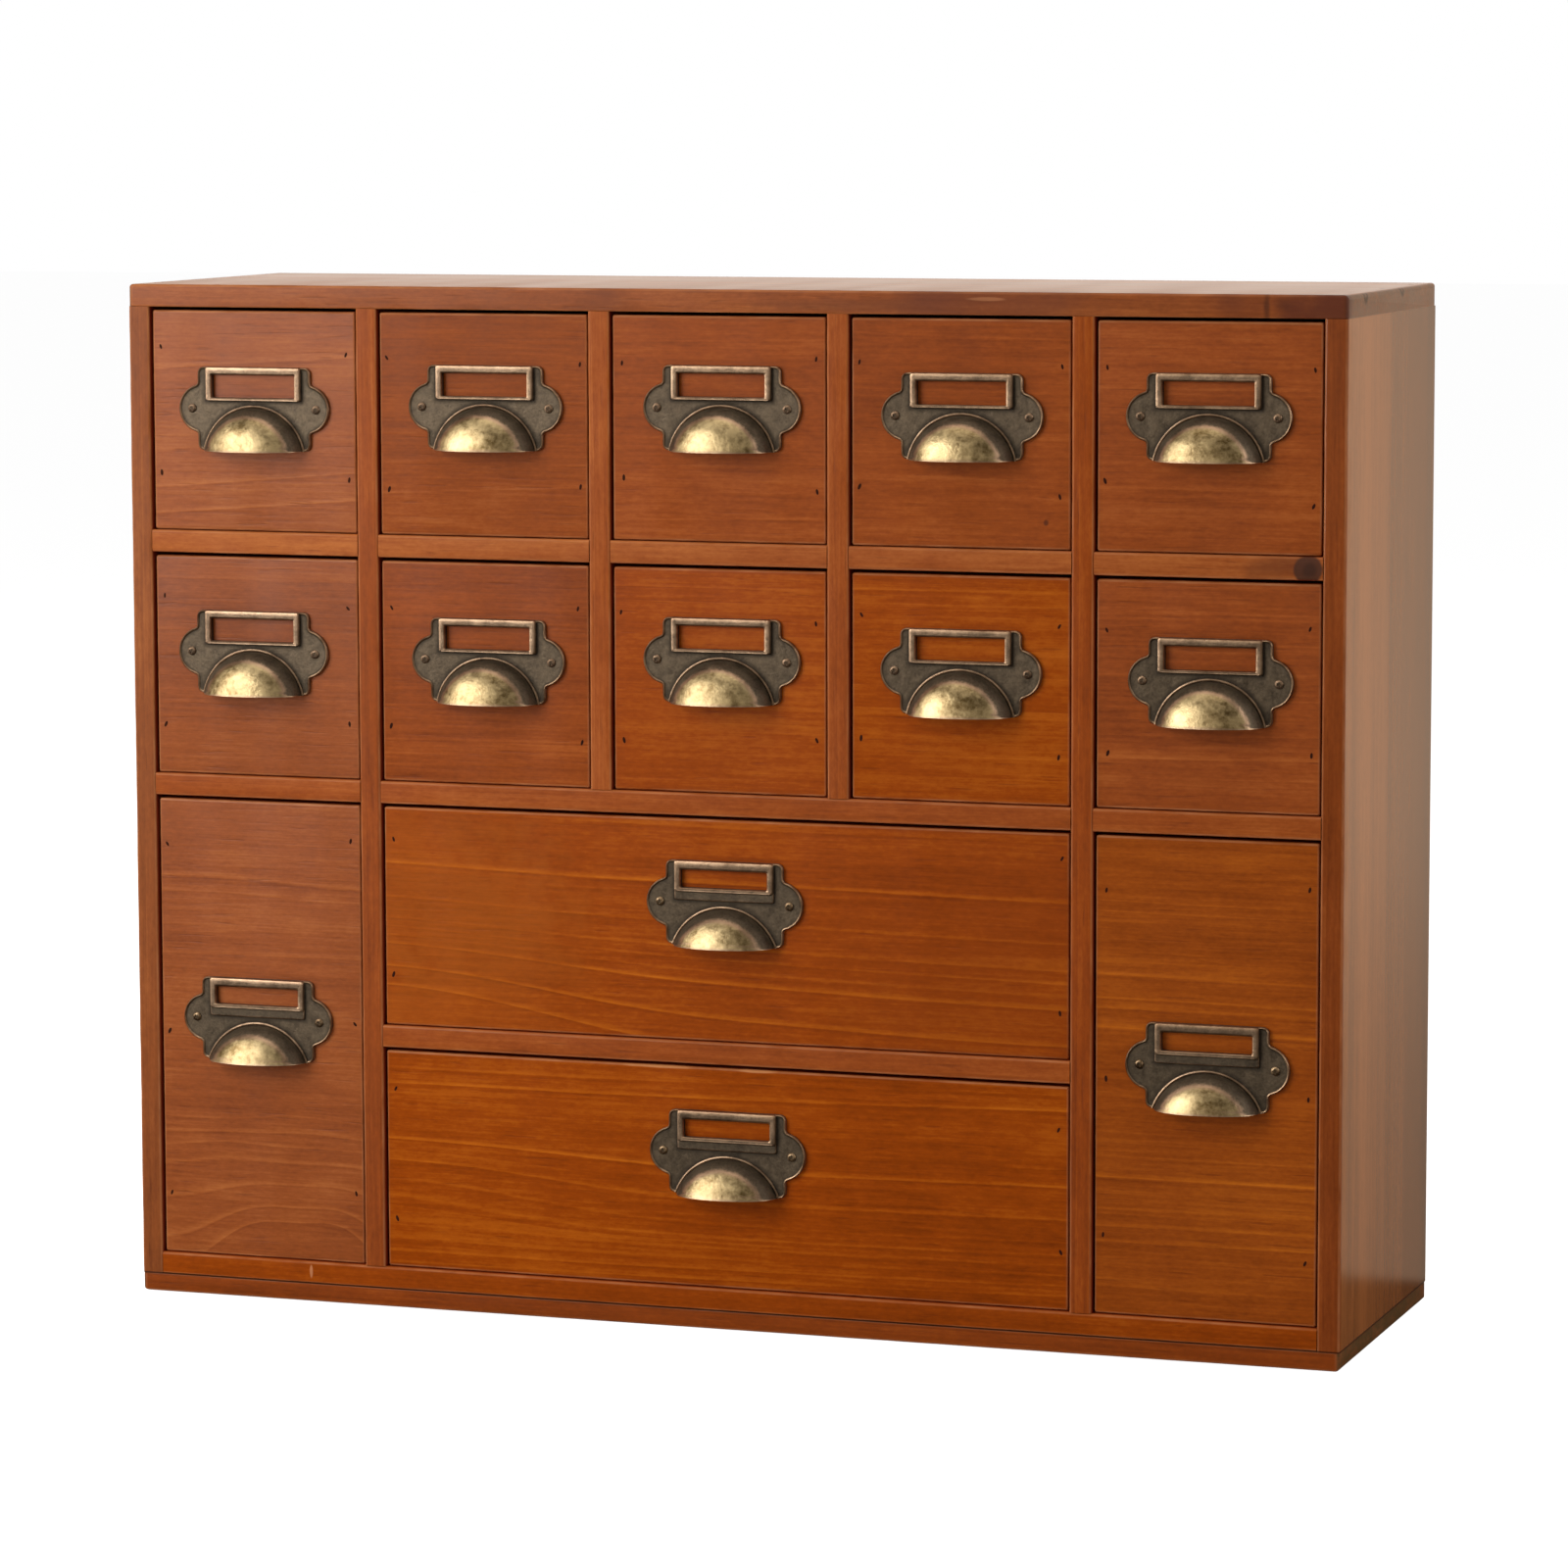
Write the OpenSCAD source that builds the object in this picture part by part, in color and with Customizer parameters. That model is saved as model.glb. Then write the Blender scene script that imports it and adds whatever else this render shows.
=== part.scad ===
// Mini chest of drawers: ten small, two tall and two wide drawers in a wooden
// carcass of thin boards, each drawer with a cast cup pull and label frame.
// The origin is the centre of the base board's underside. +X is to the right,
// +Y to the back and +Z up, so the drawers open towards -Y.

/* [Carcass] */
// Clear width of one cell of the drawer grid
cell_w = 110; // [96:1:150]
// Clear height of one cell of the drawer grid
cell_h = 110; // [80:1:150]
// Depth of the carcass from front to back
carcass_d = 180; // [140:1:260]
// Thickness of the side panels
side_t = 11; // [9:0.5:18]
// Thickness of the upright dividers
divider_t = 11; // [9:0.5:18]
// Thickness of the shelves between the drawers
shelf_t = 11; // [8:0.5:18]
// Thickness of the top panel
top_t = 11; // [8:0.5:18]
// Thickness of the bottom panel
bottom_t = 11; // [8:0.5:18]
// Thickness of the base board under the carcass
base_t = 9; // [7:0.5:14]
// Thickness of the plywood back panel
back_t = 4; // [3:0.5:6]
// Depth of the housings that hold the shelf ends
housing_d = 3; // [1:0.5:3.5]
// How far behind the front edge a housing stops
housing_stop = 12; // [8:1:30]
// Chamfer along the front edges of the boards
edge_ease = 1; // [0.4:0.1:2]

/* [Drawers] */
// Thickness of the drawer fronts
front_t = 10; // [9:0.5:14]
// Thickness of the drawer sides
drawer_side_t = 8; // [6:0.5:11]
// Thickness of the drawer backs
drawer_back_t = 8; // [5:0.5:12]
// Thickness of the plywood drawer bottoms
drawer_bottom_t = 3; // [2.5:0.5:5]
// Height of the bottom's groove above the drawer's lower edge
groove_z = 4; // [3:0.5:8]
// Depth of the bottom's groove in the sides and the front
groove_d = 3; // [1.5:0.5:4]
// How far the sides stay below the top of the front
side_drop = 6; // [2:0.5:20]
// Setback of the drawer fronts behind the carcass's front edge
recess = 2; // [0.5:0.5:6]
// Gap beside a drawer, on each side
side_gap = 1; // [0.4:0.1:2]
// Gap above a drawer front
top_gap = 1.7; // [0.6:0.1:4]
// Running clearance under a drawer
foot_gap = 0.3; // [0.1:0.1:0.6]
// Clearance between a closed drawer and the back panel
rear_gap = 0.3; // [0.1:0.1:2]
// Play of the back and the bottom between the drawer's sides
board_play = 0.05; // [0.02:0.01:0.2]
// Height of the pull's centre above the centre of a small drawer front
small_pull_rise = 8; // [-10:0.5:10]
// Height of the pull's centre above the centre of a wide drawer front
wide_pull_rise = 13; // [-10:0.5:14]
// Height of the pull's centre above the centre of a tall drawer front
tall_pull_rise = 6; // [-40:0.5:40]

/* [Pull] */
// Width of the pull over its two screw lobes
pull_w = 80; // [78:0.5:86]
// Height of the pull
pull_h = 41; // [40:0.5:48]
// Thickness of the back plate
plate_t = 1.4; // [1:0.1:2.5]
// Width of the back plate between the lobes
plate_w = 60; // [58:0.5:66]
// Radius of the back plate's four corners
plate_corner_r = 3; // [1:0.5:6]
// Radius of the screw lobes
lobe_r = 11.8; // [9:0.1:14]
// Width of the raised rim along the plate's outline
rim_w = 1; // [0.6:0.1:1.6]
// Height of the raised rim above the plate
rim_h = 0.6; // [0.3:0.1:1.2]
// Width of the open label window
label_w = 44; // [36:0.5:46]
// Width of the label frame's upright bars
frame_post_w = 3.4; // [1.5:0.1:4]
// Height of the label frame above the plate
frame_rise = 1.8; // [1:0.1:3]
// Width of the cup over its bead, at the lower edge of the plate
cup_w = 54.5; // [48:0.5:57]
// Projection of the cup from the drawer front
cup_d = 17.5; // [13:0.5:26]
// Wall thickness of the cup
cup_wall = 1.3; // [1:0.1:2]
// Squareness of the cup's section: 2 is an ellipse, more is boxier
cup_square = 2.3; // [2:0.1:3.2]
// Width of the bead round the cup
bead_w = 1.5; // [1:0.1:2.5]
// Height of the bead above the plate
bead_h = 0.8; // [0.4:0.1:1.5]

/* [Small drawer pull] */
// Height of the open label window
label_h = 11; // [6:0.5:11.5]
// Height of the label frame's top bar
top_bar_h = 4; // [2:0.1:4.5]
// Height of the label frame's lower bar
low_bar_h = 1.7; // [1:0.1:2]
// Height of the cup over its bead
cup_h = 22.5; // [18:0.5:23.5]

/* [Large drawer pull] */
// Height of the open label window
large_label_h = 8.6; // [6:0.2:9]
// Height of the label frame's top bar
large_top_bar_h = 4.6; // [2:0.1:5]
// Height of the label frame's lower bar
large_low_bar_h = 2.2; // [1:0.1:2.6]
// Height of the flat ledge under the lower bar
ledge_h = 4; // [2:0.1:4.4]
// Height of the ledge above the plate
ledge_rise = 0.8; // [0.4:0.1:0.9]
// Height of the cup over its bead
large_cup_h = 19.4; // [16:0.2:20]

/* [Fasteners] */
// Distance of the pull's screws from the ends of the lobes
screw_inset = 7; // [5:0.1:9]
// Diameter of the pull screws' shanks
screw_d = 2.2; // [1.6:0.1:3]
// Diameter of the pull screws' round heads
screw_head_d = 4.4; // [4:0.1:6]
// Height of the pull screws' round heads
screw_head_h = 1.3; // [1:0.1:2]
// Length of the pull screws under the head
screw_len = 8; // [5:0.5:10]
// Width of the slots in the cross recess
cross_w = 0.8; // [0.5:0.1:1]
// Depth of the cross recess
cross_depth = 0.7; // [0.4:0.1:0.9]
// Diameter of the carcass nails
nail_d = 1.4; // [1:0.1:2]
// Diameter of the nails' heads
nail_head_d = 2.8; // [2.2:0.1:4]
// Thickness of the nails' heads
nail_head_t = 0.8; // [0.5:0.1:1.2]
// Length of the carcass nails
nail_len = 24; // [18:1:32]
// Distance of the outer nails from the ends of a row
nail_inset = 28; // [20:1:50]
// Clearance round the shank of a screw or nail, on the radius
pin_play = 0.05; // [0.02:0.01:0.1]

/* [Hidden] */
$fn = 48;
// The grid's columns and rows, counted from 0 at the lower left cell
COLUMNS = 5;
ROWS = 4;
LAST_COLUMN = COLUMNS - 1;
// Columns of the wide drawers
FIRST_WIDE = 1;
LAST_WIDE = 3;
// Rows that start on the wide drawers' shelf, the lower and the upper shelves
WIDE_ROW = 1;
MIDDLE_ROW = 2;
UPPER_ROW = 3;
// Each drawer: name, first column, columns wide, lowest row, rows high, and
// how far its hand-fitted pull sits off its place to the right and upwards
DRAWERS = [
    ["upper_drawer_1", 0, 1, 3, 1, 0.5, -2],
    ["upper_drawer_2", 1, 1, 3, 1, 1.5, 0.5],
    ["upper_drawer_3", 2, 1, 3, 1, 2, 2],
    ["upper_drawer_4", 3, 1, 3, 1, 1, 0],
    ["upper_drawer_5", 4, 1, 3, 1, 0, 1.5],
    ["middle_drawer_1", 0, 1, 2, 1, -1.5, -1],
    ["middle_drawer_2", 1, 1, 2, 1, 2, -1.5],
    ["middle_drawer_3", 2, 1, 2, 1, 1.5, 2],
    ["middle_drawer_4", 3, 1, 2, 1, 0.5, 0],
    ["middle_drawer_5", 4, 1, 2, 1, 1.5, -1],
    ["tall_drawer_left", 0, 1, 0, 2, -1.5, -0.5],
    ["tall_drawer_right", 4, 1, 0, 2, 1, 0.5],
    ["wide_drawer_upper", 1, 3, 1, 1, 2.5, 0.5],
    ["wide_drawer_lower", 1, 3, 0, 1, 3.5, -0.5]
];
CARCASS = [
    "base_board", "bottom_panel", "left_side_panel", "right_side_panel",
    "left_divider", "right_divider", "left_short_divider", "right_short_divider",
    "upper_shelves", "lower_shelf_left", "lower_shelf_middle", "lower_shelf_right",
    "wide_drawer_shelf", "top_panel", "back_panel", "carcass_nails"
];

carcass_w = 2 * side_t + COLUMNS * cell_w + (COLUMNS - 1) * divider_t;
floor_z = base_t + bottom_t;
ceiling_z = floor_z + ROWS * cell_h + (ROWS - 1) * shelf_t;
carcass_h = ceiling_z + top_t;
front_y = -carcass_d / 2;
back_y = carcass_d / 2 - back_t;
inner_w = carcass_w - 2 * side_t;

// Left edge of a column and floor of a row of the drawer grid
function column_x(c) = -carcass_w / 2 + side_t + c * (cell_w + divider_t);
function row_z(r) = floor_z + r * (cell_h + shelf_t);
// Underside of the shelf that lies under a row
function shelf_z(r) = row_z(r) - shelf_t;
// Left edge of the divider at the left of a column
function divider_x(c) = column_x(c) - divider_t;

// Clear opening of a drawer
function opening_w(d) = d[2] * cell_w + (d[2] - 1) * divider_t;
function opening_h(d) = d[4] * cell_h + (d[4] - 1) * shelf_t;
function face_w(d) = opening_w(d) - 2 * side_gap;
function face_h(d) = opening_h(d) - top_gap - foot_gap;
// Middle of the drawer front's lower edge, on its front face
function face_at(d) = [
    column_x(d[1]) + opening_w(d) / 2,
    front_y + recess,
    row_z(d[3]) + foot_gap
];
function is_wide(d) = d[2] > 1;
function is_tall(d) = d[4] > 1;
function pull_rise(d) = is_tall(d) ? tall_pull_rise : is_wide(d) ? wide_pull_rise : small_pull_rise;
// Middle of the pull's lower edge from the middle of the drawer front's lower edge
function pull_at(d) = [d[5], 0, face_h(d) / 2 + pull_rise(d) + d[6] - pull_h / 2];

drawer_len = carcass_d - back_t - recess - rear_gap;
lobe_x = pull_w / 2 - lobe_r;
screw_x = pull_w / 2 - screw_inset;
screw_z = pull_h / 2;
label_frame_w = label_w + 2 * frame_post_w;
// Each kind of pull: heights of the window, top bar, lower bar, ledge and cup
SMALL_PULL = [label_h, top_bar_h, low_bar_h, 0, cup_h];
LARGE_PULL = [large_label_h, large_top_bar_h, large_low_bar_h, ledge_h, large_cup_h];
// A cup's outline is an arc through the ends and the crown of its bead
function arc_r(chord, rise) = (pow(chord / 2, 2) + pow(rise, 2)) / (2 * rise);

// Section of a board that runs back from the front edge, both front arrises eased
function eased_section(t, y0, y1) = [
    [y0 + edge_ease, 0], [y1, 0], [y1, t],
    [y0 + edge_ease, t], [y0, t - edge_ease], [y0, edge_ease]
];

// A board lying level, from x0 to x1, on height z0
module level_board(x0, x1, z0, t, y1 = back_y) {
    translate([x0, 0, z0])
        rotate([90, 0, 90])
            linear_extrude(x1 - x0)
                polygon(eased_section(t, front_y, y1));
}

// A board standing on edge from z0 to z1, its left face at x0
module upright_board(x0, t, z0, z1, y1 = back_y) {
    translate([x0 + t, 0, z0])
        rotate([0, 0, 90])
            linear_extrude(z1 - z0)
                polygon(eased_section(t, front_y, y1));
}

// The shelf under a row, from one column to another, its ends let into housings
module shelf_under(row, first, last) {
    x0 = column_x(first);
    x1 = column_x(last) + cell_w;
    level_board(x0, x1, shelf_z(row), shelf_t);
    translate([x0 - housing_d, front_y + housing_stop, shelf_z(row)])
        cube([x1 - x0 + 2 * housing_d, back_y - front_y - housing_stop, shelf_t]);
}

// The cut for a shelf end, from the face at x towards the side given by way
module housing(x, way, z0) {
    translate([way > 0 ? x : x - housing_d, front_y + housing_stop, z0])
        cube([housing_d, back_y - front_y - housing_stop, shelf_t]);
}

// A nail pointing down from its head's top at the origin
module nail(play = 0) {
    translate([0, 0, -nail_head_t - play])
        cylinder(h = nail_head_t + play, d = nail_head_d + 2 * play);
    translate([0, 0, -nail_len - play])
        cylinder(h = nail_len, d = nail_d + 2 * play);
}

// Places along a row of nails, from one end inset to the other
function nail_row(lo, hi, count) = [
    for (i = [0 : count - 1]) lo + nail_inset + i * (hi - lo - 2 * nail_inset) / (count - 1)
];

// All carcass nails: through the top into the sides, up through the base
// board into the sides, and through the back panel into the dividers
module carcass_nail_set(play = 0) {
    for (side = [-1, 1]) {
        for (y = nail_row(front_y, carcass_d / 2, 3)) {
            x = side * (carcass_w - side_t) / 2;
            translate([x, y, carcass_h]) nail(play);
            translate([x, y, 0]) rotate([180, 0, 0]) nail(play);
        }
    }
    for (c = [FIRST_WIDE, LAST_COLUMN], z = nail_row(base_t, ceiling_z, 4))
        translate([divider_x(c) + divider_t / 2, carcass_d / 2, z])
            rotate([-90, 0, 0]) nail(play);
    for (c = [FIRST_WIDE + 1 : LAST_WIDE], z = nail_row(row_z(MIDDLE_ROW), ceiling_z, 2))
        translate([divider_x(c) + divider_t / 2, carcass_d / 2, z])
            rotate([-90, 0, 0]) nail(play);
}

module base_board() {
    color("#8a4a26") difference() {
        level_board(-carcass_w / 2, carcass_w / 2, 0, base_t, carcass_d / 2);
        carcass_nail_set(pin_play);
    }
}

module bottom_panel() {
    color("#8c4b25") level_board(-inner_w / 2, inner_w / 2, base_t, bottom_t);
}

module side_panel(x0, inner_x, way) {
    color("#94603c") difference() {
        upright_board(x0, side_t, base_t, ceiling_z, carcass_d / 2);
        for (r = [MIDDLE_ROW, UPPER_ROW]) housing(inner_x, way, shelf_z(r));
        carcass_nail_set(pin_play);
    }
}

module left_side_panel() {
    side_panel(-carcass_w / 2, -inner_w / 2, -1);
}

module right_side_panel() {
    side_panel(inner_w / 2, inner_w / 2, 1);
}

// A divider from the bottom panel to the top panel. The wide drawers lie on
// its side given by way: 1 for the left divider and -1 for the right one.
module full_divider(c, way) {
    color("#96512a") difference() {
        upright_board(divider_x(c), divider_t, floor_z, ceiling_z);
        for (r = [MIDDLE_ROW, UPPER_ROW]) {
            housing(divider_x(c), 1, shelf_z(r));
            housing(divider_x(c) + divider_t, -1, shelf_z(r));
        }
        housing(way > 0 ? divider_x(c) + divider_t : divider_x(c), -way, shelf_z(WIDE_ROW));
        carcass_nail_set(pin_play);
    }
}

module left_divider() {
    full_divider(FIRST_WIDE, 1);
}

module right_divider() {
    full_divider(LAST_COLUMN, -1);
}

// A divider between the small drawers only, standing on the middle lower shelf
module short_divider(c) {
    color("#9a552d") difference() {
        upright_board(divider_x(c), divider_t, row_z(MIDDLE_ROW), ceiling_z);
        housing(divider_x(c), 1, shelf_z(UPPER_ROW));
        housing(divider_x(c) + divider_t, -1, shelf_z(UPPER_ROW));
        carcass_nail_set(pin_play);
    }
}

module left_short_divider() {
    short_divider(FIRST_WIDE + 1);
}

module right_short_divider() {
    short_divider(LAST_WIDE);
}

module upper_shelves() {
    color("#9c562c") for (c = [0 : LAST_COLUMN])
        shelf_under(UPPER_ROW, c, c);
}

module lower_shelf_left() {
    color("#9c562c") shelf_under(MIDDLE_ROW, 0, 0);
}

module lower_shelf_middle() {
    color("#a05a2e") shelf_under(MIDDLE_ROW, FIRST_WIDE, LAST_WIDE);
}

module lower_shelf_right() {
    color("#8f4c26") shelf_under(MIDDLE_ROW, LAST_COLUMN, LAST_COLUMN);
}

module wide_drawer_shelf() {
    color("#96522a") shelf_under(WIDE_ROW, FIRST_WIDE, LAST_WIDE);
}

module top_panel() {
    color("#a8683c") difference() {
        level_board(-carcass_w / 2, carcass_w / 2, ceiling_z, top_t, carcass_d / 2);
        carcass_nail_set(pin_play);
    }
}

module back_panel() {
    color("#b08a5e") difference() {
        translate([-inner_w / 2, back_y, base_t])
            cube([inner_w, back_t, ceiling_z - base_t]);
        carcass_nail_set(pin_play);
    }
}

module carcass_nails() {
    color("#4a4440") carcass_nail_set();
}

// The front board of a drawer, eased round its face, grooved for the bottom
// and drilled for the two screws of the pull
module drawer_front(d) {
    w = face_w(d);
    h = face_h(d);
    color("#9a5230") translate(face_at(d)) difference() {
        intersection() {
            linear_extrude(h) polygon([
                [-w / 2, edge_ease], [-w / 2 + edge_ease, 0], [w / 2 - edge_ease, 0],
                [w / 2, edge_ease], [w / 2, front_t], [-w / 2, front_t]
            ]);
            translate([-w / 2, 0, 0]) rotate([90, 0, 90]) linear_extrude(w) polygon([
                [0, edge_ease], [edge_ease, 0], [front_t, 0],
                [front_t, h], [edge_ease, h], [0, h - edge_ease]
            ]);
        }
        translate([-w / 2 + drawer_side_t - groove_d, front_t - groove_d, groove_z])
            cube([w - 2 * (drawer_side_t - groove_d), groove_d, drawer_bottom_t]);
        for (side = [-1, 1])
            translate(pull_at(d) + [side * screw_x, 0, screw_z])
                rotate([-90, 0, 0])
                    cylinder(h = screw_len - plate_t + pin_play, d = screw_d + 2 * pin_play);
    }
}

// The box behind a drawer front: two grooved sides, a back standing on the
// bottom, and a plywood bottom that runs in the grooves
module drawer_box(d) {
    w = face_w(d);
    side_h = face_h(d) - side_drop;
    side_len = drawer_len - front_t;
    floor_top = groove_z + drawer_bottom_t;
    bottom_w = w - 2 * (drawer_side_t - groove_d);
    color("#c08a58") translate(face_at(d)) translate([0, front_t, 0]) {
        for (side = [-1, 1]) difference() {
            translate([side > 0 ? w / 2 - drawer_side_t : -w / 2, 0, 0])
                cube([drawer_side_t, side_len, side_h]);
            translate([-bottom_w / 2, 0, groove_z])
                cube([bottom_w, side_len, drawer_bottom_t]);
        }
        translate([-w / 2 + drawer_side_t + board_play, side_len - drawer_back_t, floor_top])
            cube([w - 2 * (drawer_side_t + board_play), drawer_back_t, side_h - floor_top]);
        translate([board_play - bottom_w / 2, -groove_d, groove_z + board_play])
            cube([bottom_w - 2 * board_play, side_len + groove_d, drawer_bottom_t - 2 * board_play]);
    }
}

// A plain rounded rectangle standing on the X axis
module rounded_rectangle(w, h, r) {
    translate([-w / 2 + r, 0]) square([w - 2 * r, h]);
    translate([-w / 2, r]) square([w, h - 2 * r]);
    for (x = [-w / 2 + r, w / 2 - r], y = [r, h - r])
        translate([x, y]) circle(r);
}

// Outline of the back plate, drawn in from its edge by the inset
module plate_outline(inset = 0) {
    translate([0, inset])
        rounded_rectangle(plate_w - 2 * inset, pull_h - 2 * inset, plate_corner_r);
    for (side = [-1, 1])
        translate([side * lobe_x, pull_h / 2]) circle(lobe_r - inset);
}

// A plain bar across the label frame, down from the pull's top edge
module frame_block(h, rise) {
    translate([-label_frame_w / 2, -plate_t - rise, pull_h - h])
        cube([label_frame_w, plate_t + rise, h]);
}

// Section of the cup's dome from its rim to its crown
function dome_section(r, depth, steps) = [
    for (i = [0 : steps])
        [r * pow(cos(i * 90 / steps), 2 / cup_square), depth * pow(sin(i * 90 / steps), 2 / cup_square)]
];

// A turned shape round the cup's axis, at height z, facing forwards
module cup_turned(z) {
    translate([0, 0, z]) rotate([90, 0, 0]) children();
}

// The casting: plate, rim, label frame, bead and cup, with its back on y = 0
module pull_casting(kind) {
    window_h = kind[0];
    frame_h = kind[0] + kind[1] + kind[2];
    cup_r = arc_r(cup_w, kind[4]);
    axis_z = kind[4] - cup_r;
    dome_r = cup_r - bead_w;
    difference() {
        union() {
            rotate([90, 0, 0]) linear_extrude(plate_t) plate_outline();
            rotate([90, 0, 0]) linear_extrude(plate_t + rim_h) difference() {
                plate_outline();
                plate_outline(rim_w);
            }
            frame_block(frame_h, frame_rise);
            frame_block(frame_h + kind[3], min(ledge_rise, frame_rise));
            cup_turned(axis_z) cylinder(h = plate_t + bead_h, r = cup_r);
            cup_turned(axis_z) rotate_extrude() polygon(concat([[0, 0]], dome_section(dome_r, cup_d, 10)));
        }
        translate([-pull_w, -2 * cup_d, -2 * cup_r]) cube([2 * pull_w, 3 * cup_d, 2 * cup_r]);
        translate([-label_w / 2, -plate_t - 2 * frame_rise, pull_h - kind[1] - window_h])
            cube([label_w, plate_t + 3 * frame_rise, window_h]);
        cup_turned(axis_z) rotate_extrude() polygon(concat(
            [[0, -plate_t], [dome_r - cup_wall, -plate_t]],
            dome_section(dome_r - cup_wall, cup_d - cup_wall, 10)
        ));
        for (side = [-1, 1])
            translate([side * screw_x, plate_t, screw_z]) rotate([90, 0, 0])
                cylinder(h = 3 * plate_t, d = screw_d + 2 * pin_play);
    }
}

// A round-head screw, its head's underside at the origin and its head along +Z
module pull_screw() {
    head_r = (pow(screw_head_d / 2, 2) + pow(screw_head_h, 2)) / (2 * screw_head_h);
    difference() {
        union() {
            translate([0, 0, -screw_len]) cylinder(h = screw_len, d = screw_d);
            intersection() {
                translate([0, 0, screw_head_h - head_r]) sphere(head_r);
                cylinder(h = screw_head_h, d = screw_head_d);
            }
        }
        for (turn = [0, 90]) rotate([0, 0, turn])
            translate([-screw_head_d / 4, -cross_w / 2, screw_head_h - cross_depth])
                cube([screw_head_d / 2, cross_w, screw_head_h]);
    }
}

module drawer_pull(d) {
    translate(face_at(d) + pull_at(d)) {
        color("#8a7a58") pull_casting(is_wide(d) || is_tall(d) ? LARGE_PULL : SMALL_PULL);
        color("#a08c66") for (side = [-1, 1])
            translate([side * screw_x, -plate_t - pin_play, screw_z])
                rotate([90, 0, 0]) pull_screw();
    }
}

base_board();
bottom_panel();
left_side_panel();
right_side_panel();
left_divider();
right_divider();
left_short_divider();
right_short_divider();
upper_shelves();
lower_shelf_left();
lower_shelf_middle();
lower_shelf_right();
wide_drawer_shelf();
top_panel();
back_panel();
carcass_nails();
for (d = DRAWERS) {
    drawer_front(d);
    drawer_box(d);
    drawer_pull(d);
}
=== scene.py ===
"""Mini chest of drawers: a stained pine carcass with ten small, two tall and two wide
drawers, each with a cast brass cup pull under an open label frame."""
import math
import random

import bmesh
import bpy
from mathutils import Matrix, Vector, geometry, noise


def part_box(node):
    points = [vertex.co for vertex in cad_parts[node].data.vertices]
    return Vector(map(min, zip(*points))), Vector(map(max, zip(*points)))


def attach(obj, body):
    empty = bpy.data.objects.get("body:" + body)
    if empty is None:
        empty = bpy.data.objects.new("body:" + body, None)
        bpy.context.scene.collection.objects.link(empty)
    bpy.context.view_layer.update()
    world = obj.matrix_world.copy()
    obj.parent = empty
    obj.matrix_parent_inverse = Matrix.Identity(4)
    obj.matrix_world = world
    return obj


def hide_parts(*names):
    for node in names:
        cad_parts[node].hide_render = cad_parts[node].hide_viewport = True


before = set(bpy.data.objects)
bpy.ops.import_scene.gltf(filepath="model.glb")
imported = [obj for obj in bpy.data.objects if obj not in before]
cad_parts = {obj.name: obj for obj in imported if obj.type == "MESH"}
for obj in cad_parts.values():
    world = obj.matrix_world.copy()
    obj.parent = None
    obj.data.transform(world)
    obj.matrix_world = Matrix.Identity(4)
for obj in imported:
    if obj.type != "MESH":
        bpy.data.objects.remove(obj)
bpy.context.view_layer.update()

# Camera: a long lens, a little above the middle of the chest and to its right,
# level enough that the uprights stay nearly parallel.
SENSOR_WIDTH, FRAME_PIXELS, FOCAL_PIXELS = 36, 1600, 6062
camera = bpy.data.objects.new("camera", bpy.data.cameras.new("camera"))
bpy.context.scene.collection.objects.link(camera)
yaw, pitch, roll = math.radians(19.02), math.radians(-6.7), math.radians(-0.14)
ahead = Vector((-math.sin(yaw) * math.cos(pitch), math.cos(yaw) * math.cos(pitch), math.sin(pitch)))
sideways = ahead.cross(Vector((0, 0, 1))).normalized()
upwards = sideways.cross(ahead)
aim = Matrix((sideways, upwards, -ahead)).transposed().to_4x4() @ Matrix.Rotation(roll, 4, "Z")
camera.matrix_world = Matrix.Translation((0.954, -2.761, 0.6)) @ aim
camera.data.sensor_width = SENSOR_WIDTH
camera.data.lens = FOCAL_PIXELS / FRAME_PIXELS * SENSOR_WIDTH
camera.data.clip_end = 60
bpy.context.scene.camera = camera

# Carcass boards: base, bottom, sides, dividers, shelves and top. Thin pine boards,
# planed, their arrises rubbed round by hand, then stained and varnished. The shelf
# ends sit in housings that stop short of the front edge.
MM = 0.001
ARRIS, BACK_ARRIS = 1.1 * MM, 0.5 * MM
HOUSING_DEPTH, HOUSING_STOP = 3 * MM, 12 * MM


def drawn_in(corners, inset, held=0):
    """The section drawn in on every side, for the rounded end of a board. The lower side (-1) or
    the upper side (1) can be held, where another board lies on it."""
    lows = [min(c[i] for c in corners) - (i == 1 and held < 0) for i in (0, 1)]
    highs = [max(c[i] for c in corners) + (i == 1 and held > 0) for i in (0, 1)]
    shifted = []
    for corner in corners:
        place = [c + inset if c - lo < 1e-6 else c - inset if hi - c < 1e-6 else c
                 for c, lo, hi in zip(corner, lows, highs)]
        shifted.append((place[0], place[1], max(corner[2] - inset, 0.05 * MM) if corner[2] else 0))
    return shifted


def rounded(corners):
    """Points round a section, with how far each lies on an arris. A corner is its place and radius."""
    steps, margin = 4, 0.25 * MM
    points = []
    for i, (a, b, radius) in enumerate(corners):
        if not radius:
            points.append((a, b, 0, 0, 0))
            continue
        here = Vector((a, b))
        back = (Vector(corners[i - 1][:2]) - here).normalized()
        onward = (Vector(corners[(i + 1) % len(corners)][:2]) - here).normalized()
        inward = (back + onward) * 0.7
        points.append((*(here + back * (radius + margin)), 0, 0, 0))
        for step in range(steps + 1):
            turn = math.pi / 2 * step / steps
            spot = here + back * radius * (1 - math.sin(turn)) + onward * radius * (1 - math.cos(turn))
            points.append((*spot, *inward, min(1, 0.3 + math.sin(2 * turn))))
        points.append((*(here + onward * (radius + margin)), 0, 0, 0))
    return points


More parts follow.
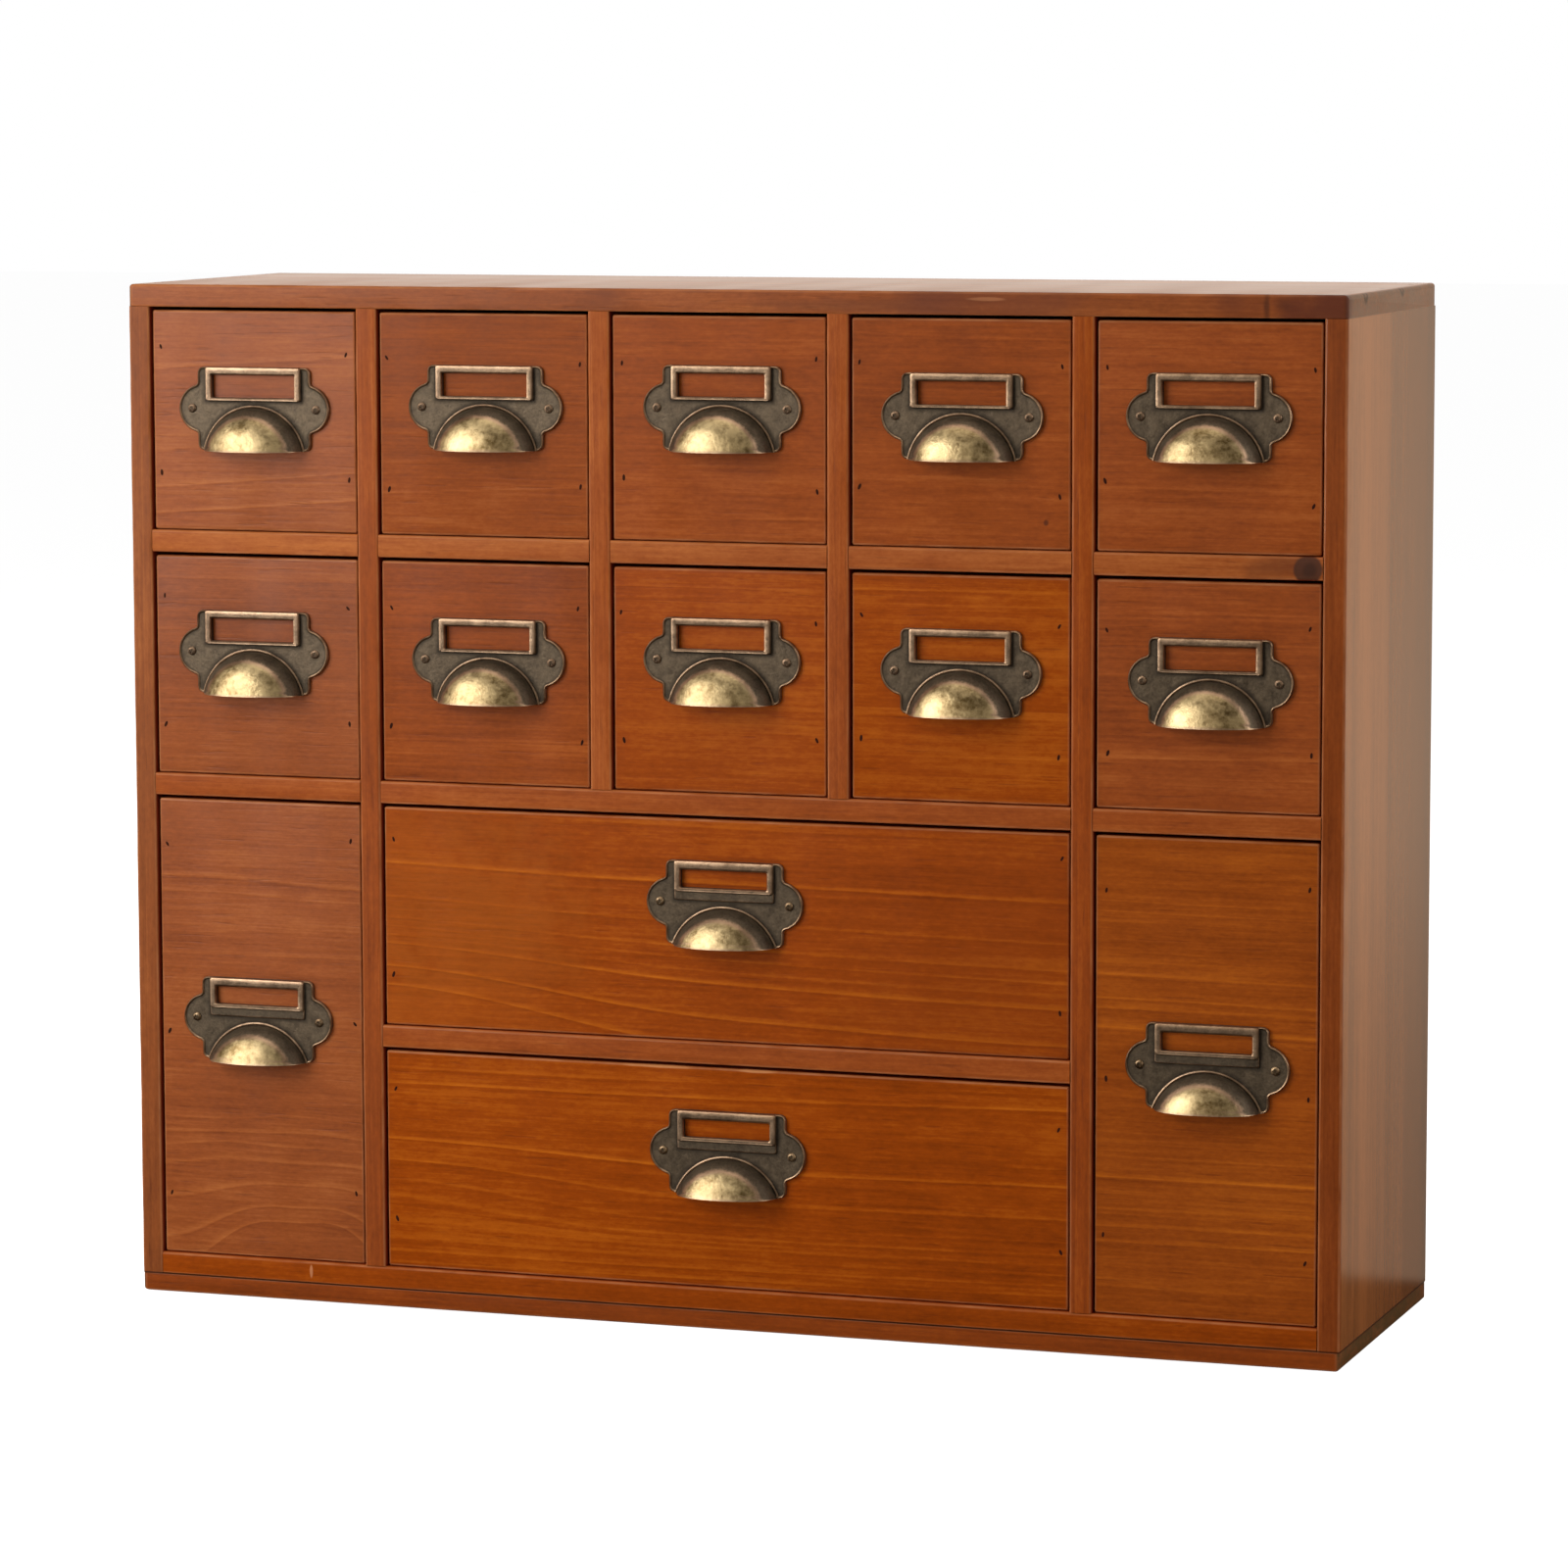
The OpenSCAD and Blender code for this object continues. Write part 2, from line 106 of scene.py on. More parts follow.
def sawn_board(along, stations, wear=0.16 * MM, step=5 * MM):
    """A board from the sections at its stations along x, y or z. A station is a place, the
    section's corners, and how far the end's rounding is worn and painted with a highlight."""
    def turned(place, a, b):
        return Vector({"x": (place, a, b), "y": (a, place, b), "z": (b, a, place)}[along])

    bm = bmesh.new()
    arris = bm.verts.layers.float.new("arris")
    rows = []
    for here, onward in zip(stations, stations[1:] + [None]):
        rows.append(here)
        if onward and onward[1] == here[1]:
            run = onward[0] - here[0]
            parts = int(abs(run) / step)
            rows += [(here[0] + run * k / parts, here[1], 0) for k in range(1, parts)]
    loops = []
    for place, corners, worn_and_highlit in rows:
        loop = []
        for a, b, in_a, in_b, share in rounded(corners):
            spot = turned(place, a, b)
            rub = wear * share * (0.5 + noise.noise(spot * 60) + 0.6 * noise.noise(spot * 240))
            vert = bm.verts.new(turned(place, a + in_a * max(rub, 0), b + in_b * max(rub, 0)))
            vert[arris] = max(share, worn_and_highlit)
            loop.append(vert)
        loops.append(loop)
    for near, far in zip(loops, loops[1:]):
        for i in range(len(near)):
            j = (i + 1) % len(near)
            bm.faces.new((near[i], near[j], far[j], far[i]))
    bm.faces.new(loops[0])
    bm.faces.new(loops[-1])
    bmesh.ops.remove_doubles(bm, verts=bm.verts, dist=2e-6)
    bmesh.ops.dissolve_degenerate(bm, edges=bm.edges, dist=2e-6)
    bmesh.ops.recalc_face_normals(bm, faces=bm.faces)
    return bm


def rounded_ends(start, stop, corners, radius=1.3 * MM, held=0):
    """Stations of a board whose two ends are rounded over."""
    turns = [math.pi / 2 * k / 4 for k in range(5)]
    sections = [(radius * (1 - math.cos(t)), drawn_in(corners, radius * (1 - math.sin(t)), held), math.sin(2 * t))
                for t in turns[:-1]]
    near = [(start + run, section, worn_and_highlit) for run, section, worn_and_highlit in sections]
    far = [(stop - run, section, worn_and_highlit) for run, section, worn_and_highlit in reversed(sections)]
    inner = [(start + radius, 0.3), (start + radius + 0.3 * MM, 0), (stop - radius - 0.3 * MM, 0), (stop - radius, 0.3)]
    return near + [(place, corners, worn_and_highlit) for place, worn_and_highlit in inner] + far


def meshed(name, bm):
    mesh = bpy.data.meshes.new(name)
    bm.to_mesh(mesh)
    bm.free()
    return mesh


def joined(boards):
    """Several boards as one, each with the number of its material."""
    whole = bmesh.new()
    whole.verts.layers.float.new("arris")
    for number, board in boards:
        for face in board.faces:
            face.material_index = number
        single = meshed("board", board)
        whole.from_mesh(single)
        bpy.data.meshes.remove(single)
    return whole


def mount(name, mesh, materials, body, slot, *nodes):
    """Makes the mesh a piece of the chest that rides on a body and stands for its CAD nodes."""
    if isinstance(mesh, bmesh.types.BMesh):
        mesh = meshed(name, mesh)
    piece = bpy.data.objects.new(name, mesh)
    bpy.context.scene.collection.objects.link(piece)
    for material in materials:
        mesh.materials.append(material)
    mesh.polygons.foreach_set("use_smooth", [True] * len(mesh.polygons))
    mesh.set_sharp_from_angle(angle=math.radians(38))
    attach(piece, body)
    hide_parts(*nodes)


def new_node(tree, kind, sockets, settings):
    """A node with its settings made first, and then the values or the links of its sockets."""
    node = tree.nodes.new(kind)
    for key, value in settings.items():
        setattr(node, key, value)
    for key, value in sockets.items():
        for one in value if isinstance(value, list) else [value]:
            one = one.socket if isinstance(one, Shade) else one
            if isinstance(one, bpy.types.NodeSocket):
                tree.links.new(one, node.inputs[key])
            else:
                node.inputs[key].default_value = one
    return node.outputs


class Shade:
    """A value in a material's nodes. Sums written on it add their Math nodes."""

    def __init__(self, tree, socket=None):
        self.tree, self.socket = tree, socket

    def add(self, kind, sockets=(), out=0, **settings):
        outputs = new_node(self.tree, "ShaderNode" + kind, dict(sockets), settings)
        return Shade(self.tree, outputs[out]) if outputs else None

    def sum(self, operation, *values):
        return self.add("Math", enumerate(values), operation=operation)

    def __add__(self, other):
        return self.sum("ADD", self, other)

    __radd__ = __add__

    def __sub__(self, other):
        return self.sum("SUBTRACT", self, other)

    def __rsub__(self, other):
        return self.sum("SUBTRACT", other, self)

    def __mul__(self, other):
        return self.sum("MULTIPLY", self, other)

    __rmul__ = __mul__

    def __truediv__(self, other):
        return self.sum("DIVIDE", self, other)

    def __pow__(self, other):
        return self.sum("POWER", self, other)

    def __abs__(self):
        return self.sum("ABSOLUTE", self)

    def fraction(self):
        return self.sum("FRACT", self)

    def between(self, low, high):
        """0 below low, 1 above high, and smooth between them."""
        return self.add("MapRange", {0: self, 1: low, 2: high, 3: 0.0, 4: 1.0}, interpolation_type="SMOOTHSTEP")

    def blend(self, first, second, kind="MIX"):
        """A colour from the first to the second, by this value."""
        colours = [c if isinstance(c, Shade) else (*c, 1) for c in (first, second)]
        return self.add("Mix", {0: self, 6: colours[0], 7: colours[1]}, out=2,
                        data_type="RGBA", blend_type=kind, clamp_factor=True)

    def ramp(self, *stops):
        """A colour from stops, each a place and its colour."""
        ramp = self.add("ValToRGB", {0: self})
        elements = ramp.socket.node.color_ramp.elements
        for end, (place, colour) in zip((elements[0], elements[-1]), (stops[0], stops[-1])):
            end.position, end.color = place, (*colour, 1)
        for place, colour in stops[1:-1]:
            elements.new(place).color = (*colour, 1)
        return ramp

    def cloud(self, scale, place=(0, 0, 0), detail=2.0, rough=0.5):
        """Noise about 0 over these coordinates, with its own scale along each of them."""
        spot = self.add("Mapping", {0: self, 1: place, 3: scale}, vector_type="POINT")
        return self.add("TexNoise", {"Vector": spot, "Scale": 1.0, "Detail": detail, "Roughness": rough}) - 0.5

    def waver(self, along):
        """Soft noise along one value."""
        return self.add("TexNoise", {"W": along, "Scale": 1.0, "Detail": 1.0}, noise_dimensions="1D")

    def parts(self):
        """A vector's x, y and z."""
        return [Shade(self.tree, s) for s in self.add("SeparateXYZ", {0: self}).socket.node.outputs]

    def place(self):
        """The place on the piece, in its own coordinates."""
        return self.add("TexCoord", out=3)

    def kept(self, name):
        """A value that the mesh keeps at its points."""
        return self.add("Attribute", out=2, attribute_name=name)

    def end(self, sockets, height=None, strength=0.3, depth=0.0002):
        """Ends a material in its surface, with a bump of this height."""
        if height is not None:
            sockets["Normal"] = self.add("Bump", {"Strength": strength, "Distance": depth, "Height": height})
        self.add("OutputMaterial", {"Surface": self.add("BsdfPrincipled", sockets)})


def new_material(name):
    material = bpy.data.materials.new(name)
    material.use_nodes = True
    material.node_tree.nodes.clear()
    return material, Shade(material.node_tree)


def peaks(found, low, high):
    """Ramp stops that rise to a strength at each place, from so far inside it and so far outside."""
    black = (0, 0, 0)
    stops = [(0.0, black)]
    for at, strength, inner, outer in found:
        stops += [((place - low) / (high - low), colour)
                  for place, colour in ((at - inner, black), (at, (strength,) * 3), (at + outer, black))]
    return stops + [(1.0, black)]


def stained_pine(name, centre, size, grain="x", pith=(-70, -60), tilt=(0.0, 0.0), ring=11.0, bold=0.5, lines=(),
                 bulges=(), deep=(0.11, 0.019, 0.002), middle=(0.275, 0.056, 0.005), light=(0.5, 0.145, 0.024),
                 tone=0.5, fall=0.0, marks=(), joint=None, seams=(-1, 1), seam_from=(0.3, 1.4), worn_and_highlit=0.55,
                 face=None, faded=None, end_grain=None, end_knots=(), seed=0, gloss=0.44, ior=1.22, relief=0.35):
    """Stained and varnished pine, with places in millimetres from the board's centre. Its growth rings lie
    round a pith that tilts against the length. Stain sinks into the soft wood, so that each ring ends in a
    thin light line. lines holds single strong ones: height on the front, strength and width. A bulge lifts
    the lines about a place, as a knot does: its place, width, height and rise. The colour runs from deep
    over middle to light, and fall makes the far end of the length lighter than the near one. Two things are
    placed in the chest's own millimetres: marks on the front (place, width, height, colour, strength and
    softness), and joint, the height of a dark line where two boards meet. The seams round the drawers are
    darkened, on a board's lower and upper side, or an upright's right and left: painted shade, together with
    the stain and dirt gathered there. worn_and_highlit is how light the arrises are painted, as worn varnish
    and as a painted highlight. face is the colour of a broad side that faces outwards, and faded what dims
    it towards the back. end_grain is that of the ends, which drink more stain and can show knots, at their
    depth, height and radius. The varnish shines at a low angle and hardly at all face on."""
    material, shade = new_material(name)
    turn = {"x": (0, 0, 0), "y": (0, 0, math.pi / 2), "z": (0, -math.pi / 2, 0)}[grain]
    place = shade.place()
    local = shade.add("Mapping", {0: place, 1: centre, 2: turn}, vector_type="TEXTURE")
    length, depth, height = local.parts()
    shift = (seed * 0.37, seed * 0.71, seed * 0.53)

    def cloud(scale, detail=2.0, rough=0.5):
        return local.cloud(scale, shift, detail, rough)

    # the growth rings, and the single lines along them
    across = depth - length * tilt[0] - pith[0] * MM
    upward = height - length * tilt[1] - pith[1] * MM
    radius = (across * across + upward * upward) ** 0.5 + cloud((3.5, 16, 16), 1.0) * 0.006
    side = math.copysign(1, -pith[1])
    for x, z, wide, tall, rise in bulges:
        dx, dz = (length - x * MM) / (wide * MM), (height - z * MM) / (tall * MM)
        hump = (dx * dx + dz * dz) * -1.0
        radius = radius - hump.sum("EXPONENT", hump) * (side * rise * MM)
    count = radius / (ring * MM) + shade.waver(radius * (220 / ring) + seed * 3.1) * 2.6
    part, number = count.fraction(), count.sum("FLOOR", count)
    chance = shade.add("TexWhiteNoise", {"W": number + seed * 0.77}, noise_dimensions="1D")
    fade = cloud((7, 30, 30), 1.0) * 1.6 + 0.75
    line = part ** 9.0 * chance ** 1.5 * fade * bold
    shadow = (1 - part) ** 3.0 * chance * bold
    if lines:
        front = -size[1] / 2 / MM
        found = sorted((math.hypot(front - pith[0], at - pith[1]), strength, width * 0.6)
                       for at, strength, width in lines)
        low, high = found[0][0] - 6, found[-1][0] + 6
        soft = [(at, strength, *((width, 0.4) if side < 0 else (0.4, width))) for at, strength, width in found]
        dark = [(at - 0.9 * side, strength, 1.1, 1.1) for at, strength, _ in found]
        scaled = (radius * 1000 - low) / (high - low)
        drawn, dimmed = (scaled.ramp(*peaks(places, low, high)) for places in (soft, dark))
        line = line + shade.add("SeparateColor", {0: drawn}) * (fade * 0.5 + 0.55)
        shadow = shadow + shade.add("SeparateColor", {0: dimmed}) * 0.8
    # the colour of the stained wood
    fine, fibre = cloud((22, 620, 620), 3.0, 0.6), cloud((240, 640, 640), 2.0, 0.7)
    mottle, streak = cloud((42, 100, 100), 3.0, 0.6), cloud((2.2, 95, 110), 4.0, 0.62)
    blotch, fleck = cloud((7, 19, 19)), cloud((45, 700, 700), 1.0).between(0.15, 0.27)
    amount = (tone - 0.06 + fine * 0.46 + fibre * 0.34 + streak * 0.32 + mottle * 0.3 + blotch * 0.42
              + line * 0.38 - shadow * 0.15)
    if fall:
        amount = amount + length * (fall / size[2])
    colour = (fleck * 0.35).blend(amount.ramp((0.0, deep), (0.45, middle), (1.0, light)), deep)
    behind = depth + size[1] / 2
    above = height.between(0.0, 1.0 * MM)
    if face:
        outward = (1 - above if seams[0] > 0 else above) * behind.between(1.5 * MM, 3.0 * MM)
        veil = 0.5 + cloud((1.5, 45, 45)) * 1.7 + streak * 1.1 + fine * 1.1 + fibre * 0.6 + mottle * 0.6
        veil = veil.blend([c * 0.72 for c in face], [c * 1.25 for c in face])
        if faded:
            veil = (behind / size[1]).blend(veil, faded, "MULTIPLY")
        colour = (outward * 0.93).blend(colour, veil)
    # the arrises are painted lighter, both as worn varnish and as a painted highlight
    rubbed_and_painted_light = shade.kept("arris") * (cloud((60, 60, 60)) * 1.5 + 0.55)
    colour = (rubbed_and_painted_light * worn_and_highlit).blend(colour, (0.52, 0.21, 0.085))
    inner = 1.0
    if end_grain:
        half = size[0] / 2
        on_end = abs(length).between(half - 1.8 * MM, half - 0.6 * MM)
        inner = 1 - on_end
        pores = cloud((20, 260, 520), 4.0, 0.7) * 1.8 + cloud((20, 60, 90))
        colour = (on_end * (0.86 + pores)).blend(colour, end_grain)
        for y, z, wide in end_knots:
            dy, dz = depth / (wide * MM) - y / wide + pores * 0.5, height / (wide * MM) - z / wide + streak
            reach = (dy * dy + dz * dz) ** 0.5
            rim = reach.between(0.35, 0.8) * (1 - reach.between(1.0, 1.7))
            colour = (rim * on_end * 0.85).blend(colour, (0.04, 0.016, 0.007))
    # marks on the front, the dark of joints, and painted shade in the seams
    for x, z, wide, tall, stain, strength, soft in marks:
        off = shade.add("VectorMath", {0: place, 1: (x * MM, centre[1], z * MM)}, operation="SUBTRACT")
        dx, _, dz = off.parts()
        wobble = cloud((90, 90, 90)) * soft
        dx = dx / (wide * MM) + blotch * soft * 2.0 + wobble * 1.6
        dz = dz / (tall * MM) + streak * 0.8 + wobble
        reach = (dx * dx + dz * dz) ** 0.5
        shown = (1 - reach.between(1 - soft, 1 + soft * 0.4)) * (1 - behind.between(2 * MM, 12 * MM))
        colour = (shown * strength).blend(colour, stain)
    if joint:
        near = 1 - abs(place.parts()[2] - joint * MM).between(0.3 * MM, 0.9 * MM)
        colour = (near * 0.8).blend(colour, (0.03, 0.009, 0.004))
    # painted shade on the inner faces of the seams round the drawers, with the stain and dirt gathered there
    if seams:
        start = above * ((seam_from[1] - seam_from[0]) * MM) + seam_from[0] * MM
        seam_shade = (behind - start).between(0.0, 0.9 * MM) * (1 - behind.between(9 * MM, 9.8 * MM)) * inner
        if len(seams) == 1:
            seam_shade = seam_shade * (above if seams[0] > 0 else 1 - above)
        colour = (seam_shade * 0.88).blend(colour, (0.26, 0.03, 0.008) if grain == "x" else (0.17, 0.014, 0.004))
    shade.end({"Base Color": colour, "Roughness": gloss + fine * 0.12 + streak * 0.1 - line * 0.06, "IOR": ior},
              fine * 0.6 + streak * 0.5 + line * 0.25 - fleck * 0.3, relief, 0.0004)
    return material


def middle_and_size(node):
    low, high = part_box(node)
    return tuple((a + b) / 2 for a, b in zip(low, high)), tuple(b - a for a, b in zip(low, high))


def level_corners(low, high, front=ARRIS, back=BACK_ARRIS):
    return [(low[1], low[2], front), (high[1], low[2], back), (high[1], high[2], back), (low[1], high[2], front)]


def carcass_board(node, board, seed, **look):
    finish = stained_pine("stained_" + node, *middle_and_size(node), seed=seed, **look)
    mount(node + "_wood", board, [finish], "carcass", "stained_wood", node)


# the base board and the top run over everything, with rounded ends
for seed, node, held, look in [
    (1, "base_board", 1, dict(
        pith=(-60, -160), ring=6, tone=0.42, bold=0.5, seams=(), end_grain=(0.09, 0.044, 0.013),
        deep=(0.098, 0.018, 0.001), middle=(0.236, 0.043, 0.0015), light=(0.42, 0.1, 0.006), joint=9.3)),
    (2, "top_panel", -1, dict(
        pith=(40, -190), ring=7, tone=0.5, bold=0.5, seams=(-1,), face=(0.28, 0.086, 0.02),
        deep=(0.105, 0.022, 0.004), middle=(0.25, 0.06, 0.01), light=(0.46, 0.145, 0.03),
        end_grain=(0.172, 0.084, 0.046), end_knots=[(-55, 5, 3.2), (19, 5, 2.8)], gloss=0.36, ior=1.25, marks=[
            (105, 498, 30, 14, (0.11, 0.028, 0.012), 0.6, 0.9), (152, 498, 34, 14, (0.115, 0.03, 0.012), 0.45, 0.9),
            (251, 498, 13, 13, (0.11, 0.026, 0.01), 0.45, 0.9), (-57, 498, 14, 13, (0.12, 0.03, 0.01), 0.4, 0.9),
            (298, 498, 36, 15, (0.086, 0.019, 0.009), 0.82, 0.7), (269, 497, 1.6, 9, (0.035, 0.01, 0.005), 0.6, 0.8),
            (276, 499, 6, 3.5, (0.055, 0.014, 0.006), 0.5, 0.8), (134, 500.5, 10, 1, (0.46, 0.19, 0.075), 0.4, 0.35),
            (60, 497, 40, 3, (0.12, 0.035, 0.012), 0.4, 0.8)])),
]:
    low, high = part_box(node)
    met = (high if held > 0 else low)[2]
    corners = [(y, z, 0.4 * MM if z == met else radius) for y, z, radius in level_corners(low, high)]
    carcass_board(node, sawn_board("x", rounded_ends(low[0], high[0], corners, 2.2 * MM, held)), seed, **look)

low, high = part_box("bottom_panel")
carcass_board("bottom_panel", sawn_board("x", [(end[0], level_corners(low, high), 0) for end in (low, high)]), 5,
              pith=(50, -120), ring=8, tone=0.46, ior=1.14, seams=(1,), joint=9.0,
              deep=(0.112, 0.018, 0.0005), middle=(0.275, 0.048, 0.0008), light=(0.5, 0.13, 0.008),
              marks=[(-216, 15, 0.9, 3.4, (0.6, 0.28, 0.13), 0.5, 0.3)])


def sawn_shelf(low, high):
    """A shelf between its tongues, which start at the housings' stop."""
    whole = level_corners(low, high)
    tongue = level_corners((low[0], low[1] + HOUSING_STOP, low[2]), high, BACK_ARRIS)
    first, last = low[0] + HOUSING_DEPTH, high[0] - HOUSING_DEPTH
    return sawn_board("x", [(low[0], tongue, 0), (first, tongue, 0), (first, whole, 0),
                            (last, whole, 0), (last, tongue, 0), (high[0], tongue, 0)])


# five short shelves of one column each, centred on the drawers above them, with a dark
# knot at the right end
low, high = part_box("upper_shelves")
half = middle_and_size("lower_shelf_left")[1][0] / 2
columns = sorted(round(sum(end[0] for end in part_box(f"upper_drawer_{c}_front")), 5) / 2 for c in range(1, 6))
shelves = [(0, sawn_shelf((x - half, *low[1:]), (x + half, *high[1:]))) for x in columns]
knot = low[2] / MM + 5
carcass_board("upper_shelves", joined(shelves), 8, pith=(-45, -80), ring=7, tone=0.6,
              middle=(0.285, 0.064, 0.009), light=(0.52, 0.165, 0.032),
              marks=[(276, knot + 0.5, 18, 7, (0.12, 0.03, 0.008), 0.6, 0.8),
                     (290, knot, 7.5, 7.0, (0.07, 0.024, 0.012), 0.95, 0.15),
                     (291, knot, 4, 4, (0.035, 0.014, 0.008), 0.6, 0.5)])

for seed, node, look in [
    (11, "lower_shelf_left", dict(pith=(-70, -60), tone=0.53,
                                  marks=[(-211, 263.2, 12, 1.0, (0.75, 0.36, 0.12), 0.85, 0.25)])),
    (12, "lower_shelf_middle", dict(pith=(-60, -50), tone=0.54)),
    (13, "lower_shelf_right", dict(pith=(-60, -50), tone=0.5)),
    (14, "wide_drawer_shelf", dict(pith=(-60, -50), tone=0.53)),
]:
    carcass_board(node, sawn_shelf(*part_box(node)), seed, ring=8, **look)


def sawn_upright(node, housings):
    """An upright board. A housing is the side that it opens to, -1 or 1, and the shelf that it holds."""
    low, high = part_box(node)
    steps = sorted({low[2], high[2]} | {end[2] for _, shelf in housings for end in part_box(shelf)})
    stop = low[1] + HOUSING_STOP
    stations = []
    for z0, z1 in zip(steps, steps[1:]):
        cut = {-1: 0.0, 1: 0.0}
        for side, shelf in housings:
            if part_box(shelf)[0][2] - 1e-6 < z0 and z1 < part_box(shelf)[1][2] + 1e-6:
                cut[side] = HOUSING_DEPTH
        left, right = low[0] + cut[-1], high[0] - cut[1]
        corners = [(low[1], low[0], ARRIS), (stop, low[0], 0), (stop, left, 0), (high[1], left, 0),
                   (high[1], right, 0), (stop, right, 0), (stop, high[0], 0), (low[1], high[0], ARRIS)]
        stations += [(z0, corners, 0), (z1, corners, 0)]
    return sawn_board("z", stations)


both = [(-1, "upper_shelves"), (1, "upper_shelves")]
for seed, node, housings, look in [
    (21, "left_side_panel", [(1, "lower_shelf_left"), both[1]], dict(
        pith=(-80, -120), ring=9, tone=0.48, seams=(-1,), face=(0.24, 0.063, 0.012), ior=1.25, fall=0.1, joint=9.0,
        deep=(0.1, 0.022, 0.004), middle=(0.23, 0.057, 0.009), light=(0.42, 0.135, 0.028))),
    (22, "right_side_panel", [(-1, "lower_shelf_right"), both[0]], dict(
        pith=(60, 150), ring=9, tone=0.42, seams=(1,), face=(0.335, 0.108, 0.027), faded=(0.34, 0.34, 0.4),
        gloss=0.18, relief=0.08, ior=1.27, joint=9.0,
        deep=(0.098, 0.02, 0.004), middle=(0.232, 0.05, 0.008), light=(0.42, 0.125, 0.024))),
    (23, "left_divider", [(-1, "lower_shelf_left"), *both, (1, "lower_shelf_middle"), (1, "wide_drawer_shelf")],
     dict(pith=(-80, 90), ring=8, fall=0.16)),
    (24, "right_divider", [(1, "lower_shelf_right"), *both, (-1, "lower_shelf_middle"), (-1, "wide_drawer_shelf")],
     dict(pith=(-70, -90), ring=8, ior=1.21, fall=0.08, middle=(0.268, 0.049, 0.002), light=(0.49, 0.13, 0.012))),
    (25, "left_short_divider", both, dict(pith=(-50, 70), ring=7, tone=0.56)),
    (26, "right_short_divider", both, dict(pith=(-60, -70), ring=7, tone=0.54)),
]:
    carcass_board(node, sawn_upright(node, housings), seed, grain="z", **look)

# Back panel: one sheet of thin plywood let in between the sides, left unstained
# inside and out, nailed to the dividers.
plywood, shade = new_material("bare_plywood")
place = shade.place()
fine, figure = place.cloud((520, 520, 9), (0, 0, 0), 3.0, 0.6), place.cloud((14, 30, 1.6), (3, 1, 2), 3.0, 0.6)
leaf = place.cloud((5.5, 5.5, 0.85), (4, 1, 2), 0.6) * 26 + place.cloud((60, 60, 4), (1, 1, 1), 2.0) * 0.7
leaf = leaf.fraction() ** 3.0
depth = place.parts()[1] * 1000
plies = depth.sum("PINGPONG", depth, 0.7).between(0.25, 0.45)
on_edge = 1 - abs(shade.add("NewGeometry", out=1).parts()[1]).between(0.4, 0.6)
amount = 0.6 + fine * 0.45 + figure * 0.35 - leaf * 0.27
colour = amount.ramp((0.0, (0.25, 0.145, 0.07)), (0.5, (0.47, 0.305, 0.165)), (1.0, (0.62, 0.45, 0.27)))
colour = (on_edge * plies * 0.6).blend(colour, (0.24, 0.13, 0.06))
shade.end({"Base Color": colour, "Roughness": 0.62 + fine * 0.15, "IOR": 1.22}, fine * 0.7 + leaf * 0.2, 0.35, 0.0004)
low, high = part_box("back_panel")
corners = level_corners(low, high, 0.3 * MM, 0.3 * MM)
mount("back_panel_sheet", sawn_board("x", [(low[0], corners, 0), (high[0], corners, 0)], step=20 * MM), [plywood],
      "carcass", "plywood", "back_panel")

# Carcass nails: round wire nails with flat heads, driven flush through the top, the
# base board and the back. Dull steel that has begun to brown.
nail_steel, shade = new_material("dull_nail_steel")
spots = shade.place().cloud((420, 420, 420), (0, 0, 0), 3.0, 0.6)
grime = shade.place().cloud((60, 60, 60), (2, 2, 2))
colour = (spots * 1.6 + 0.45 + grime).blend((0.1, 0.055, 0.035), (0.34, 0.32, 0.3))
shade.end({"Base Color": colour, "Metallic": 0.75, "Roughness": 0.5 - spots * 0.5}, spots)
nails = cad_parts["carcass_nails"]
nails.data.materials.clear()
nails.data.materials.append(nail_steel)

